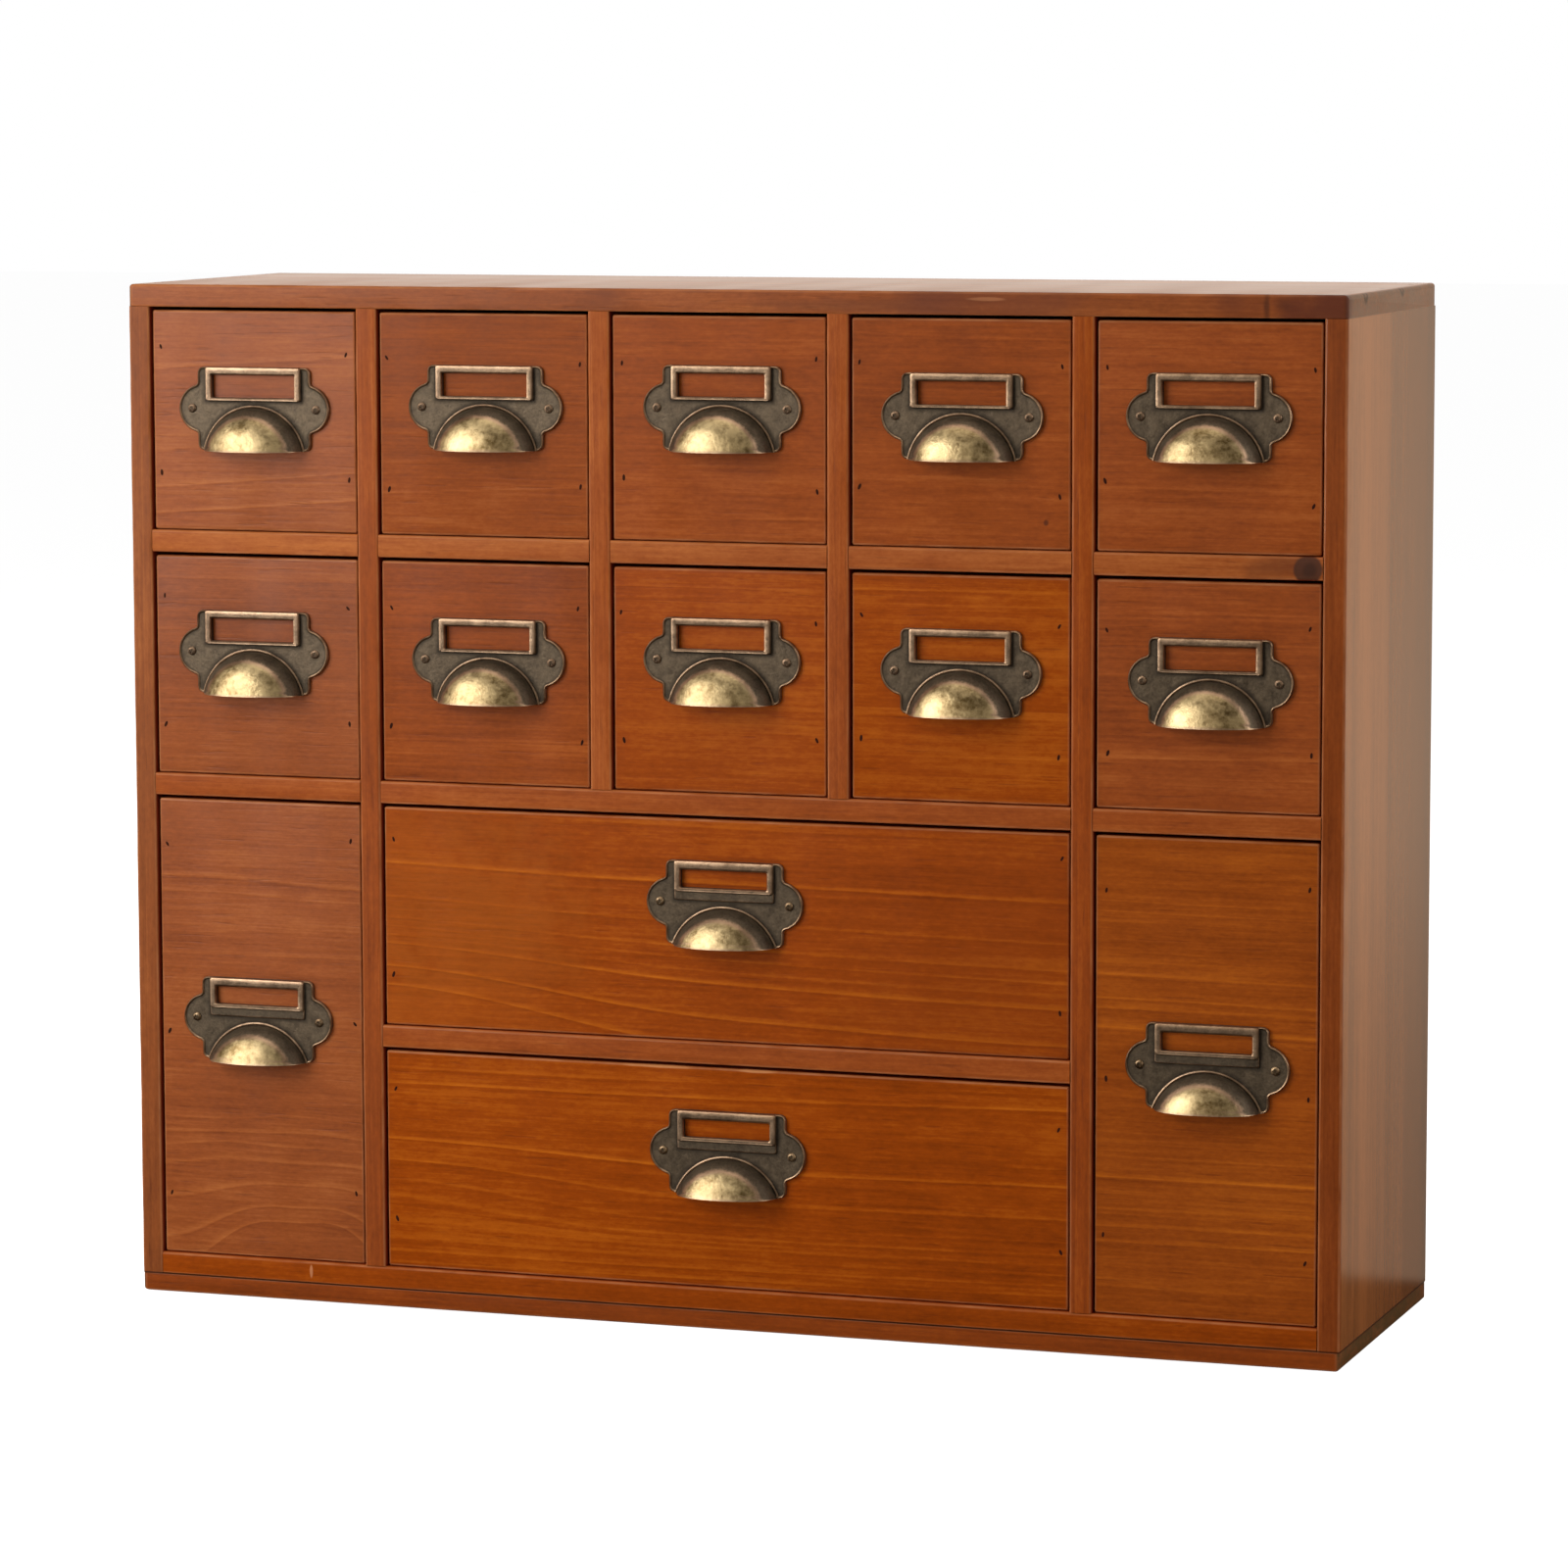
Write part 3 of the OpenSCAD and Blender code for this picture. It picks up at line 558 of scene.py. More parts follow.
# Drawer fronts: one pine board each, grain across, planed and eased all round, glued
# and pinned to the sides of the box behind, then stained with the carcass. Each entry
# says how its board was cut, and its light lines as shares of the height from the top.
RED = dict(deep=(0.11, 0.021, 0.004), middle=(0.265, 0.062, 0.01), light=(0.46, 0.145, 0.032), ior=1.28)
ORANGE = dict(deep=(0.128, 0.019, 0.0008), middle=(0.284, 0.05, 0.001), light=(0.54, 0.146, 0.008), ior=1.16)
AMBER = dict(deep=(0.12, 0.019, 0.0004), middle=(0.282, 0.049, 0.0007), light=(0.54, 0.14, 0.006), ior=1.14)
LOWER_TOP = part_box("wide_drawer_lower_front")[1][2] / MM - 0.6
FRONTS = {
    "upper_drawer_1": dict(
        RED, pith=(-90, -260), tilt=(0.06, 0.05), ring=16, bold=0.25, tone=0.545,
        lines=[(0.245, 0.5, 5), (0.765, 0.6, 4), (0.885, 0.7, 3), (0.6, 0.15, 2)]),
    "upper_drawer_2": dict(
        RED, pith=(-60, -200), tilt=(0.02, 0.03), ring=13, bold=0.2, tone=0.46, middle=(0.262, 0.056, 0.006), ior=1.2,
        lines=[(0.66, 0.2, 3), (0.79, 0.3, 3)]),
    "upper_drawer_3": dict(
        pith=(-60, -230), tilt=(0.0, 0.02), ring=14, bold=0.2, tone=0.48, lines=[(0.12, 0.2, 2), (0.9, 0.3, 4)]),
    "upper_drawer_4": dict(
        pith=(-50, 240), tilt=(0.03, -0.02), ring=12, bold=0.25, tone=0.47, lines=[(0.07, 0.3, 2), (0.7, 0.2, 3)],
        marks=[(163, 396, 1.4, 1.6, (0.05, 0.012, 0.004), 0.7, 0.5)]),
    "upper_drawer_5": dict(
        pith=(-70, -240), ring=15, bold=0.2, tone=0.49, ior=1.26, lines=[(0.3, 0.2, 3), (0.72, 0.2, 4)]),
    "middle_drawer_1": dict(
        RED, pith=(-60, 220), tilt=(0.05, 0.01), ring=12, bold=0.25, tone=0.44, lines=[(0.1, 0.2, 3)]),
    "middle_drawer_2": dict(
        pith=(-80, -240), tilt=(0.0, 0.02), ring=11, bold=0.3, tone=0.41,
        lines=[(0.8, 0.3, 2), (0.86, 0.2, 2), (0.91, 0.3, 2)]),
    "middle_drawer_3": dict(
        ORANGE, pith=(-70, -260), tilt=(0.02, 0.0), ring=10, bold=0.3, tone=0.5, ior=1.2,
        lines=[(0.08, 0.3, 3), (0.45, 0.2, 3)]),
    "middle_drawer_4": dict(
        ORANGE, pith=(-90, -240), tilt=(0.0, 0.01), ring=12, bold=0.4, tone=0.53,
        lines=[(0.07, 0.5, 3), (0.13, 0.3, 2), (0.62, 0.3, 3), (0.8, 0.3, 2)],
        marks=[(154, 323, 3, 2.2, (0.8, 0.36, 0.09), 0.7, 0.5), (173, 374.5, 2, 1.2, (0.8, 0.42, 0.16), 0.8, 0.4)]),
    "middle_drawer_5": dict(
        pith=(-60, 250), tilt=(0.0, 0.01), ring=10, bold=0.4, tone=0.47, ior=1.26,
        lines=[(0.17, 0.3, 2), (0.28, 0.2, 2), (0.86, 0.2, 2)]),
    "tall_drawer_left": dict(
        RED, pith=(-60, -260), ring=13, bold=0.2, tone=0.5,
        lines=[(0.185, 0.8, 5), (0.215, 0.4, 4), (0.335, 0.35, 3), (0.705, 0.4, 2), (0.735, 0.8, 3),
               (0.765, 0.6, 3), (0.805, 0.6, 5), (0.88, 0.6, 8), (0.97, 0.6, 7), (1.03, 0.6, 6)],
        bulges=[(2, -110, 30, 30, 28), (40, -108, 22, 30, 22), (-30, 75, 60, 14, 4), (20, -45, 26, 9, 3),
                (-22, -62, 20, 9, 3)]),
    "tall_drawer_right": dict(
        AMBER, pith=(-110, 330), tilt=(0.0, -0.01), ring=7, bold=0.45, tone=0.49, middle=(0.286, 0.058, 0.002), ior=1.2,
        lines=[(0.266, 0.4, 3), (0.295, 0.7, 3), (0.343, 0.5, 2), (0.362, 0.7, 2), (0.405, 0.9, 4),
               (0.712, 0.9, 4), (0.78, 0.5, 3), (0.815, 0.6, 3), (0.847, 0.6, 3), (0.94, 0.4, 3)]),
    "wide_drawer_upper": dict(
        AMBER, pith=(-90, -330), tilt=(0.0, -0.014), ring=15, bold=0.15, tone=0.48, ior=1.18,
        lines=[(0.292, 1.0, 4), (0.468, 0.6, 3), (0.585, 0.5, 3), (0.64, 0.4, 2), (0.695, 0.35, 2),
               (0.752, 0.9, 4), (0.915, 0.9, 4), (1.05, 0.7, 4), (0.03, 0.3, 3)],
        bulges=[(-182, -60, 110, 45, 30)],
        marks=[(170, 180, 120, 90, (0.2, 0.034, 0.001), 0.45, 1.0),
               (-160, 190, 90, 70, (0.4, 0.105, 0.009), 0.35, 1.0)]),
    "wide_drawer_lower": dict(
        AMBER, pith=(-110, -300), tilt=(0.0, 0.008), ring=8, bold=0.3, tone=0.49,
        lines=[(0.06, 0.3, 3), (0.13, 0.7, 3), (0.475, 0.9, 4), (0.62, 0.6, 4), (0.72, 0.35, 2),
               (0.775, 0.4, 2), (0.82, 0.4, 2), (0.865, 0.4, 2), (0.91, 0.4, 2), (0.955, 0.4, 2)],
        bulges=[(-190, -8, 120, 24, 15)],
        marks=[(-30, LOWER_TOP, 18, 0.9, (0.62, 0.26, 0.09), 0.7, 0.5),
               (18, LOWER_TOP, 10, 0.9, (0.6, 0.25, 0.09), 0.7, 0.5)]),
}
SIDE_THICKNESS, BOTTOM_THICKNESS = 8 * MM, 3 * MM
GROOVE_HEIGHT, GROOVE_DEPTH = 4 * MM, 3 * MM


def grooved_section(outer, inner, low, high, soft, edge, cut):
    """A board's section with a groove in its inner face for the bottom. soft and edge are the
    radii of its inner and outer arrises."""
    floor, ceiling = low + GROOVE_HEIGHT, low + GROOVE_HEIGHT + BOTTOM_THICKNESS
    return [(outer, low, edge), (inner, low, soft), (inner, floor, 0), (inner + cut, floor, 0),
            (inner + cut, ceiling, 0), (inner, ceiling, 0), (inner, high, soft), (outer, high, edge)]


for number, (drawer, look) in enumerate(FRONTS.items()):
    low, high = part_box(drawer + "_front")
    plain, grooved = (grooved_section(low[1], high[1], low[2], high[2], 0.3 * MM, ARRIS, cut)
                      for cut in (0.0, -GROOVE_DEPTH))
    ends = rounded_ends(low[0], high[0], plain, 0.9 * MM)
    middle = len(ends) // 2
    inset = SIDE_THICKNESS - GROOVE_DEPTH
    groove = [(place, section, 0) for place, section in (
        (low[0] + inset, plain), (low[0] + inset, grooved), (high[0] - inset, grooved), (high[0] - inset, plain))]
    tall = (high[2] - low[2]) / MM
    lines = [((0.5 - share) * tall, strength, width) for share, strength, width in look["lines"]]
    # the fronts' arrises take more of the lightening, as worn varnish and as a painted highlight
    finish = stained_pine("stained_" + drawer, *middle_and_size(drawer + "_front"), seed=number * 1.7 + 31,
                          seam_from=(1.2, 1.2), worn_and_highlit=0.9, gloss=0.38, **dict(look, lines=lines))
    mount(drawer + "_front_board", sawn_board("x", ends[:middle] + groove + ends[middle:]), [finish],
          drawer, "stained_wood", drawer + "_front")

# Drawer boxes: unstained sides and back of thin pine, sanded, with a plywood bottom
# in grooves. The sides are butted to the front, and the back stands on the bottom.
BACK_THICKNESS, PLAY = 8 * MM, 0.05 * MM


def bare_pine(name, turn, seed):
    """Bare sanded pine with soft brownish growth lines, and some stain wiped over it."""
    material, shade = new_material(name)
    local = shade.add("Mapping", {0: shade.place(), 1: (0.0, 0.0, -0.11), 2: (0, 0, turn)}, vector_type="TEXTURE")
    length, depth, height = local.parts()
    sway = local.cloud((5, 25, 25), (seed, 0, 0), 1.0) * 0.012
    radius = (depth * depth * 0.6 + height * height) ** 0.5 + sway + length * 0.02
    line = (radius * 150 + shade.waver(radius * 28 + seed) * 2.2).fraction() ** 4.0
    fine = local.cloud((10, 560, 560), (seed, 1, 2), 3.0, 0.6)
    amount = 0.56 + fine * 0.4 + local.cloud((9, 25, 25), (1, seed, 2)) * 0.5 - line * 0.32
    colour = amount.ramp((0.0, (0.31, 0.155, 0.065)), (0.5, (0.56, 0.35, 0.175)), (1.0, (0.72, 0.52, 0.31)))
    colour = (shade.kept("arris") * 0.25).blend(colour, (0.42, 0.23, 0.1))
    shade.end({"Base Color": colour, "Roughness": 0.6 + fine * 0.15, "IOR": 1.22}, fine * 0.7 + line * 0.3,
              0.35, 0.0004)
    return material


side_pine, back_pine = bare_pine("bare_pine_sides", math.pi / 2, 3.0), bare_pine("bare_pine_backs", 0, 7.0)
for drawer in FRONTS:
    low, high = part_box(drawer + "_box")
    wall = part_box(drawer + "_front")[1][1]
    floor = low[2] + GROOVE_HEIGHT
    ceiling = floor + BOTTOM_THICKNESS
    boards = []
    for outer, inward in ((low[0], 1), (high[0], -1)):
        section = grooved_section(outer, outer + inward * SIDE_THICKNESS, low[2], high[2], 0.5 * MM, 0.5 * MM,
                                  -inward * GROOVE_DEPTH)
        boards.append((0, sawn_board("y", [(wall, section, 0), (high[1], section, 0)])))
    left, right = low[0] + SIDE_THICKNESS + PLAY, high[0] - SIDE_THICKNESS - PLAY
    section = level_corners((0, high[1] - BACK_THICKNESS, ceiling), high, 0.5 * MM, 0.5 * MM)
    boards.append((1, sawn_board("x", [(left, section, 0), (right, section, 0)])))
    section = level_corners((0, low[1], floor + PLAY), (0, high[1], ceiling - PLAY), 0, 0)
    ends = left - GROOVE_DEPTH, right + GROOVE_DEPTH
    boards.append((2, sawn_board("x", [(end, section, 0) for end in ends], step=20 * MM)))
    mount(drawer + "_box_boards", joined(boards), [side_pine, back_pine, plywood],
          drawer, "plain_wood", drawer + "_box")

# Cup pulls: brass castings with a raised label frame, a rimmed plate with a screw lobe
# at each side and a hollow cup, darkened and rubbed bright on the high places, with a painted
# highlight, painted shade and painted dark reflection on the cup. The small drawers' one has a
# deeper window, and the large drawers' one a ledge under it.
PULL_WIDTH, PULL_HEIGHT = 80.0, 41.0
PLATE, PLATE_HALF, PLATE_CORNER, LOBE_RADIUS = 1.4, 30.0, 3.0, 11.8
LOBE_X = PULL_WIDTH / 2 - LOBE_RADIUS
WINDOW_WIDTH, POST, BEAD = 44.0, 3.4, 1.6
CUP_WIDTH, CUP_DEPTH, CUP_WALL, CUP_SQUARE = 54.5, 17.5, 1.3, 2.3
SKIN_STEPS, SKIN_JITTER, BEAD_STEPS, CUP_STEPS = (1.35, 1.4), 0.3, 48, 56
SMALL_PULL = dict(window=11.0, top_bar=4.0, low_bar=1.7, ledge=0.0, cup_height=22.5)
LARGE_PULL = dict(window=8.6, top_bar=4.6, low_bar=2.2, ledge=4.0, cup_height=19.4)


def arc(x, z, radius, start, stop, count):
    turns = [math.radians(start + (stop - start) * i / count) for i in range(count + 1)]
    return [(x + radius * math.cos(turn), z + radius * math.sin(turn)) for turn in turns]


def plate_outline():
    """The plate's outline, evenly stepped, with its inner corners softened as a casting's are."""
    reach = math.degrees(math.acos((PLATE_HALF - LOBE_X) / LOBE_RADIUS))
    right = arc(PLATE_HALF - PLATE_CORNER, PLATE_CORNER, PLATE_CORNER, -90, 0, 8)
    right += arc(LOBE_X, PULL_HEIGHT / 2, LOBE_RADIUS, -reach, reach, 40)
    right += arc(PLATE_HALF - PLATE_CORNER, PULL_HEIGHT - PLATE_CORNER, PLATE_CORNER, 0, 90, 8)
    loop = right + [(-x, z) for x, z in reversed(right)]
    even = []
    for (x0, z0), (x1, z1) in zip(loop, loop[1:] + loop[:1]):
        parts = max(1, round(math.hypot(x1 - x0, z1 - z0) / 0.7))
        even += [(x0 + (x1 - x0) * k / parts, z0 + (z1 - z0) * k / parts) for k in range(parts)]
    for _ in range(3):
        even = [tuple(0.25 * a + 0.5 * b + 0.25 * c for a, b, c in zip(even[i - 1], p, even[(i + 1) % len(even)]))
                for i, p in enumerate(even)]
    return even


def stepped_in(loop, distance):
    """A closed outline moved inwards."""
    moved = []
    for i, (x, z) in enumerate(loop):
        ahead_x, ahead_z = loop[(i + 1) % len(loop)]
        behind_x, behind_z = loop[i - 1]
        run = math.hypot(ahead_x - behind_x, ahead_z - behind_z)
        moved.append((x - (ahead_z - behind_z) / run * distance, z + (ahead_x - behind_x) / run * distance))
    return moved


def rectangle(x0, z0, x1, z1, radius, count=5):
    left, right, low, high = x0 + radius, x1 - radius, z0 + radius, z1 - radius
    corners = (right, low, -90), (right, high, 0), (left, high, 90), (left, low, 180)
    return [point for x, z, turn in corners for point in arc(x, z, radius, turn, turn + 90, count)]


def inside(x, z, loop):
    """Whether a point lies inside a closed outline."""
    hit = False
    for (x0, z0), (x1, z1) in zip(loop, loop[1:] + loop[:1]):
        if (z0 > z) != (z1 > z) and x < x0 + (z - z0) * (x1 - x0) / (z1 - z0):
            hit = not hit
    return hit


class Casting:
    """One pull's mesh. All its sizes are in millimetres: x to the right, z up from its lower edge, and out
    from the drawer."""

    def __init__(self):
        self.bm = bmesh.new()
        self.bright = self.bm.verts.layers.float.new("bright")
        self.soot = self.bm.verts.layers.float.new("soot")

    def point(self, x, out, z, bright, soot=0.0):
        vert = self.bm.verts.new((x, -out, z))
        vert[self.bright], vert[self.soot] = bright, soot
        return vert

    def band(self, loops, closed=True):
        """Faces between rows of points of equal length."""
        for near, far in zip(loops, loops[1:]):
            for i in range(len(near) if closed else len(near) - 1):
                j = (i + 1) % len(near)
                self.bm.faces.new((near[i], near[j], far[j], far[i]))

    def sweep(self, steps):
        """Closed outlines at their heights: each step is an outline, its height and its brightness."""
        loops = [[self.point(x, out, z, bright, soot) for x, z in loop] for loop, out, bright, soot in steps]
        self.band(loops)
        return loops


def cup_depth(radius, edge, depth):
    return depth * max(0.0, 1 - (radius / edge) ** CUP_SQUARE) ** (1 / CUP_SQUARE)


def cast_pull(window, top_bar, low_bar, ledge, cup_height):
    """The casting in parts that meet as in the mould: plate, label frame, ledge, bead and cup."""
    casting = Casting()
    outline = plate_outline()
    frame_half = WINDOW_WIDTH / 2 + POST
    window_high = PULL_HEIGHT - top_bar
    window_low = window_high - window
    frame_low = window_low - low_bar
    cup_radius = ((CUP_WIDTH / 2) ** 2 + cup_height ** 2) / (2 * cup_height)
    axis = cup_height - cup_radius

    def crowding(x, z):
        """How close a place on the plate lies to the frame or the cup, where dirt stays."""
        frame_gap = math.hypot(max(abs(x) - frame_half, 0), max(frame_low - ledge - z, 0))
        cup_gap = abs(math.hypot(x, z - axis) - cup_radius)
        return max(0.0, 1 - min(frame_gap, cup_gap) / 2.2)

    # the rim, from the drawer's face round to the field
    steps = [(0.0, 0.0, 0.45, 0.0), (0.0, 1.25, 0.6, 0.0), (0.18, 1.75, 0.9, 0.0), (0.55, 2.0, 1.0, 0.0),
             (0.95, 1.8, 0.8, 0.0), (1.3, PLATE, 0.15, 0.5)]
    rim = casting.sweep([(stepped_in(outline, inset), *rest) for inset, *rest in steps])
    # the field between the rim and the window, with a cast skin
    hole = rectangle(-WINDOW_WIDTH / 2 - 1, window_low - 0.8, WINDOW_WIDTH / 2 + 1, window_high + 1, 0.4, 2)
    edge = [(v.co.x, v.co.z) for v in rim[-1]]
    rng = random.Random(4)
    spots = list(edge) + hole
    for i in range(-30, 31):
        for j in range(0, 30):
            x, z = (k * step + rng.uniform(-SKIN_JITTER, SKIN_JITTER) for k, step in zip((i, j), SKIN_STEPS))
            if inside(x, z, edge) and not inside(x, z, hole) and min(math.dist((x, z), s) for s in edge + hole) > 0.7:
                spots.append((x, z))
    joints = [(i, (i + 1) % len(edge)) for i in range(len(edge))]
    joints += [(len(edge) + i, len(edge) + (i + 1) % len(hole)) for i in range(len(hole))]
    places, _, triangles, *_ = geometry.delaunay_2d_cdt([Vector(s) for s in spots], joints, [], 0, 1e-5)
    field = []
    for i, (x, z) in enumerate(places):
        if i < len(rim[-1]):
            field.append(rim[-1][i])
        else:
            skin = noise.noise(Vector((x * 0.35, z * 0.35, 1))) * 0.1
            field.append(casting.point(x, PLATE - 0.05 + skin, z, 0.12 + 0.3 * abs(skin), crowding(x, z)))
    for triangle in triangles:
        x, z = (sum(places[i][k] for i in triangle) / 3 for k in (0, 1))
        if inside(x, z, edge) and not inside(x, z, hole):
            casting.bm.faces.new([field[i] for i in triangle])
    # the ledge under the frame of the large pulls
    if ledge:
        steps = [(0.0, 1.1, 0.4, 0.6), (0.05, 1.95, 0.75, 0.2), (0.3, 2.2, 0.8, 0.0), (0.7, 2.25, 0.3, 0.0),
                 (1.5, 2.2, 0.15, 0.2)]
        half, foot, head = frame_half, frame_low - ledge, frame_low + 1.2
        loops = casting.sweep([(rectangle(i - half, foot + i, half - i, head, 0.9), *rest) for i, *rest in steps])
        casting.bm.faces.new(loops[-1])
    # the frame's bars, from their outer foot over the top and down into the window
    steps = [(0.0, 1.1, 0.35, 0.7), (0.02, 2.3, 0.65, 0.1), (0.1, 2.95, 0.95, 0.0), (0.25, 3.2, 0.7, 0.0),
             (0.5, 3.1, 0.5, 0.0), (0.75, 3.2, 0.65, 0.0), (0.9, 2.95, 1.0, 0.0), (0.99, 2.3, 0.6, 0.1),
             (1.0, 0.05, 0.2, 0.9)]
    outer = rectangle(-frame_half, frame_low, frame_half, PULL_HEIGHT, 1.2)
    inner = rectangle(-WINDOW_WIDTH / 2, window_low, WINDOW_WIDTH / 2, window_high, 0.5 if not ledge else 0.9)
    casting.sweep([([(a + (c - a) * share, b + (d - b) * share) for (a, b), (c, d) in zip(outer, inner)], *rest)
                   for share, *rest in steps])
    # the bead round the cup, a half-round strand on the plate
    strand = cup_radius - BEAD / 2
    ends = math.degrees(math.asin(-axis / strand))
    loops = []
    for i in range(BEAD_STEPS + 1):
        turn = math.radians(ends + (180 - 2 * ends) * i / BEAD_STEPS)
        loops.append([])
        for w in (k * math.pi / 4 for k in range(8)):
            away, up = strand + math.cos(w) * BEAD / 2, math.sin(w)
            loops[-1].append(casting.point(math.cos(turn) * away, PLATE + up, max(0.0, axis + math.sin(turn) * away),
                                           0.32 + 0.36 * max(0.0, up)))
    casting.band(loops)
    casting.bm.faces.new(loops[0])
    casting.bm.faces.new(loops[-1])
    # the cup: rows from its lip up to its foot, outside and then inside
    dome = cup_radius - BEAD + 0.1
    rows = []
    shares = [0, 0.03, 0.07, 0.14, 0.22, 0.31, 0.4, 0.5, 0.6, 0.69, 0.77, 0.84, 0.9, 0.945, 0.975, 0.992, 1.0]
    for wall, order in ((0.0, reversed(shares)), (CUP_WALL, shares)):
        edge_radius, depth = dome - wall, CUP_DEPTH - wall
        half = math.sqrt(edge_radius ** 2 - axis ** 2)
        start = math.degrees(math.asin(-axis / edge_radius))
        for share in order:
            row = []
            for i in range(CUP_STEPS + 1):
                turn = math.radians(start + (180 - 2 * start) * i / CUP_STEPS)
                along = half * math.cos(math.pi * i / CUP_STEPS)
                x = along * (1 - share) + edge_radius * math.cos(turn) * share
                z = (axis + edge_radius * math.sin(turn)) * share
                radius = math.hypot(x, z - axis)
                lip = 0.35 * max(0.0, 1 - z / 1.4) if not wall else -0.2 * max(0.0, 1 - z / 0.8)
                lip *= min(1.0, (edge_radius - radius) / 3)
                out = cup_depth(min(radius, edge_radius), edge_radius, depth) + lip
                # the dome is rubbed bright towards its crown, and its duller edge is also a painted dark reflection;
                # the lip row is a painted highlight as well as wear, and the dip just above it is painted shade
                crown = min(1.0, max(0.0, (edge_radius - 2.4 - radius) / 4.6))
                rubbed_and_painted_light = 0.1 if wall else (1.7 if ledge else 2.0) * crown
                rubbed_and_painted_light = 1.0 if share < 0.04 and not wall else rubbed_and_painted_light * (1 - 0.45 * math.exp(-((z - 1.9) / 0.7) ** 2))
                row.append(casting.point(x, max(out, 0.05), z, rubbed_and_painted_light, 0.5 if wall else 0.0))
            rows.append(row)
    casting.band(rows, closed=False)
    bmesh.ops.remove_doubles(casting.bm, verts=casting.bm.verts, dist=2e-3)
    bmesh.ops.dissolve_degenerate(casting.bm, edges=casting.bm.edges, dist=2e-3)
    bmesh.ops.recalc_face_normals(casting.bm, faces=casting.bm.faces)
    return meshed("pull", casting.bm)


brass, shade = new_material("antique_brass")
place, bright, soot = shade.place(), shade.kept("bright"), shade.kept("soot")
mottle, patch = place.cloud((170, 170, 170), (1, 0, 0), 4.0, 0.65), place.cloud((55, 55, 70), (0, 1, 0), 3.0, 0.6)
grains, pits = place.cloud((900, 900, 900), (0, 0, 1), 2.0, 0.6), place.cloud((380, 380, 420), (1, 1, 0), 3.0, 0.7)
# rubbed_and_painted_light is wear on the high places, and on the cup also painted highlight, shade and reflection
rubbed_and_painted_light = (bright + mottle * 0.5 + grains * 0.35).between(0.22, 0.86)
polished = bright.between(0.75, 1.5)
skin = (0.5 + mottle * 1.5 + grains).blend((0.048, 0.034, 0.021), (0.148, 0.108, 0.068))
metal = (0.5 + patch * 1.6 + mottle * 1.1).blend((0.2, 0.12, 0.073), (0.5, 0.338, 0.218))
shiny = (0.58 + patch * 2.2 + mottle * 1.5 + pits * 1.6).blend((0.14, 0.092, 0.037), (0.5, 0.38, 0.2))
colour = (soot * 0.8).blend(polished.blend(rubbed_and_painted_light.blend(skin, metal), shiny), (0.022, 0.016, 0.011))
shade.end({"Base Color": colour, "Metallic": 0.75 + rubbed_and_painted_light * 0.25,
           "Roughness": 0.52 - rubbed_and_painted_light * 0.12 - polished * 0.01 + mottle * 0.3 + pits * 0.25 + soot * 0.2},
          mottle * 0.6 + grains * 0.35 + patch * 0.6 + pits * 0.45, 0.5, 0.0005)
small = {drawer: drawer.startswith(("upper", "middle")) for drawer in FRONTS}
pull_meshes = {True: cast_pull(**SMALL_PULL), False: cast_pull(**LARGE_PULL)}
for drawer in FRONTS:
    low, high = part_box(drawer + "_pull")
    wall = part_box(drawer + "_front")[0][1]
    mesh = pull_meshes[small[drawer]].copy()
    mesh.transform(Matrix.Translation(((low[0] + high[0]) / 2, wall, low[2])) @ Matrix.Scale(MM, 4))
    mount(drawer + "_pull_casting", mesh, [brass], drawer, "antique_brass", drawer + "_pull")

# Pull screws: small round-head brass screws with a cross recess, one in each lobe,
# turned home a little differently each time.
SCREW_X, SCREW_Z = PULL_WIDTH / 2 - 7.0, PULL_HEIGHT / 2


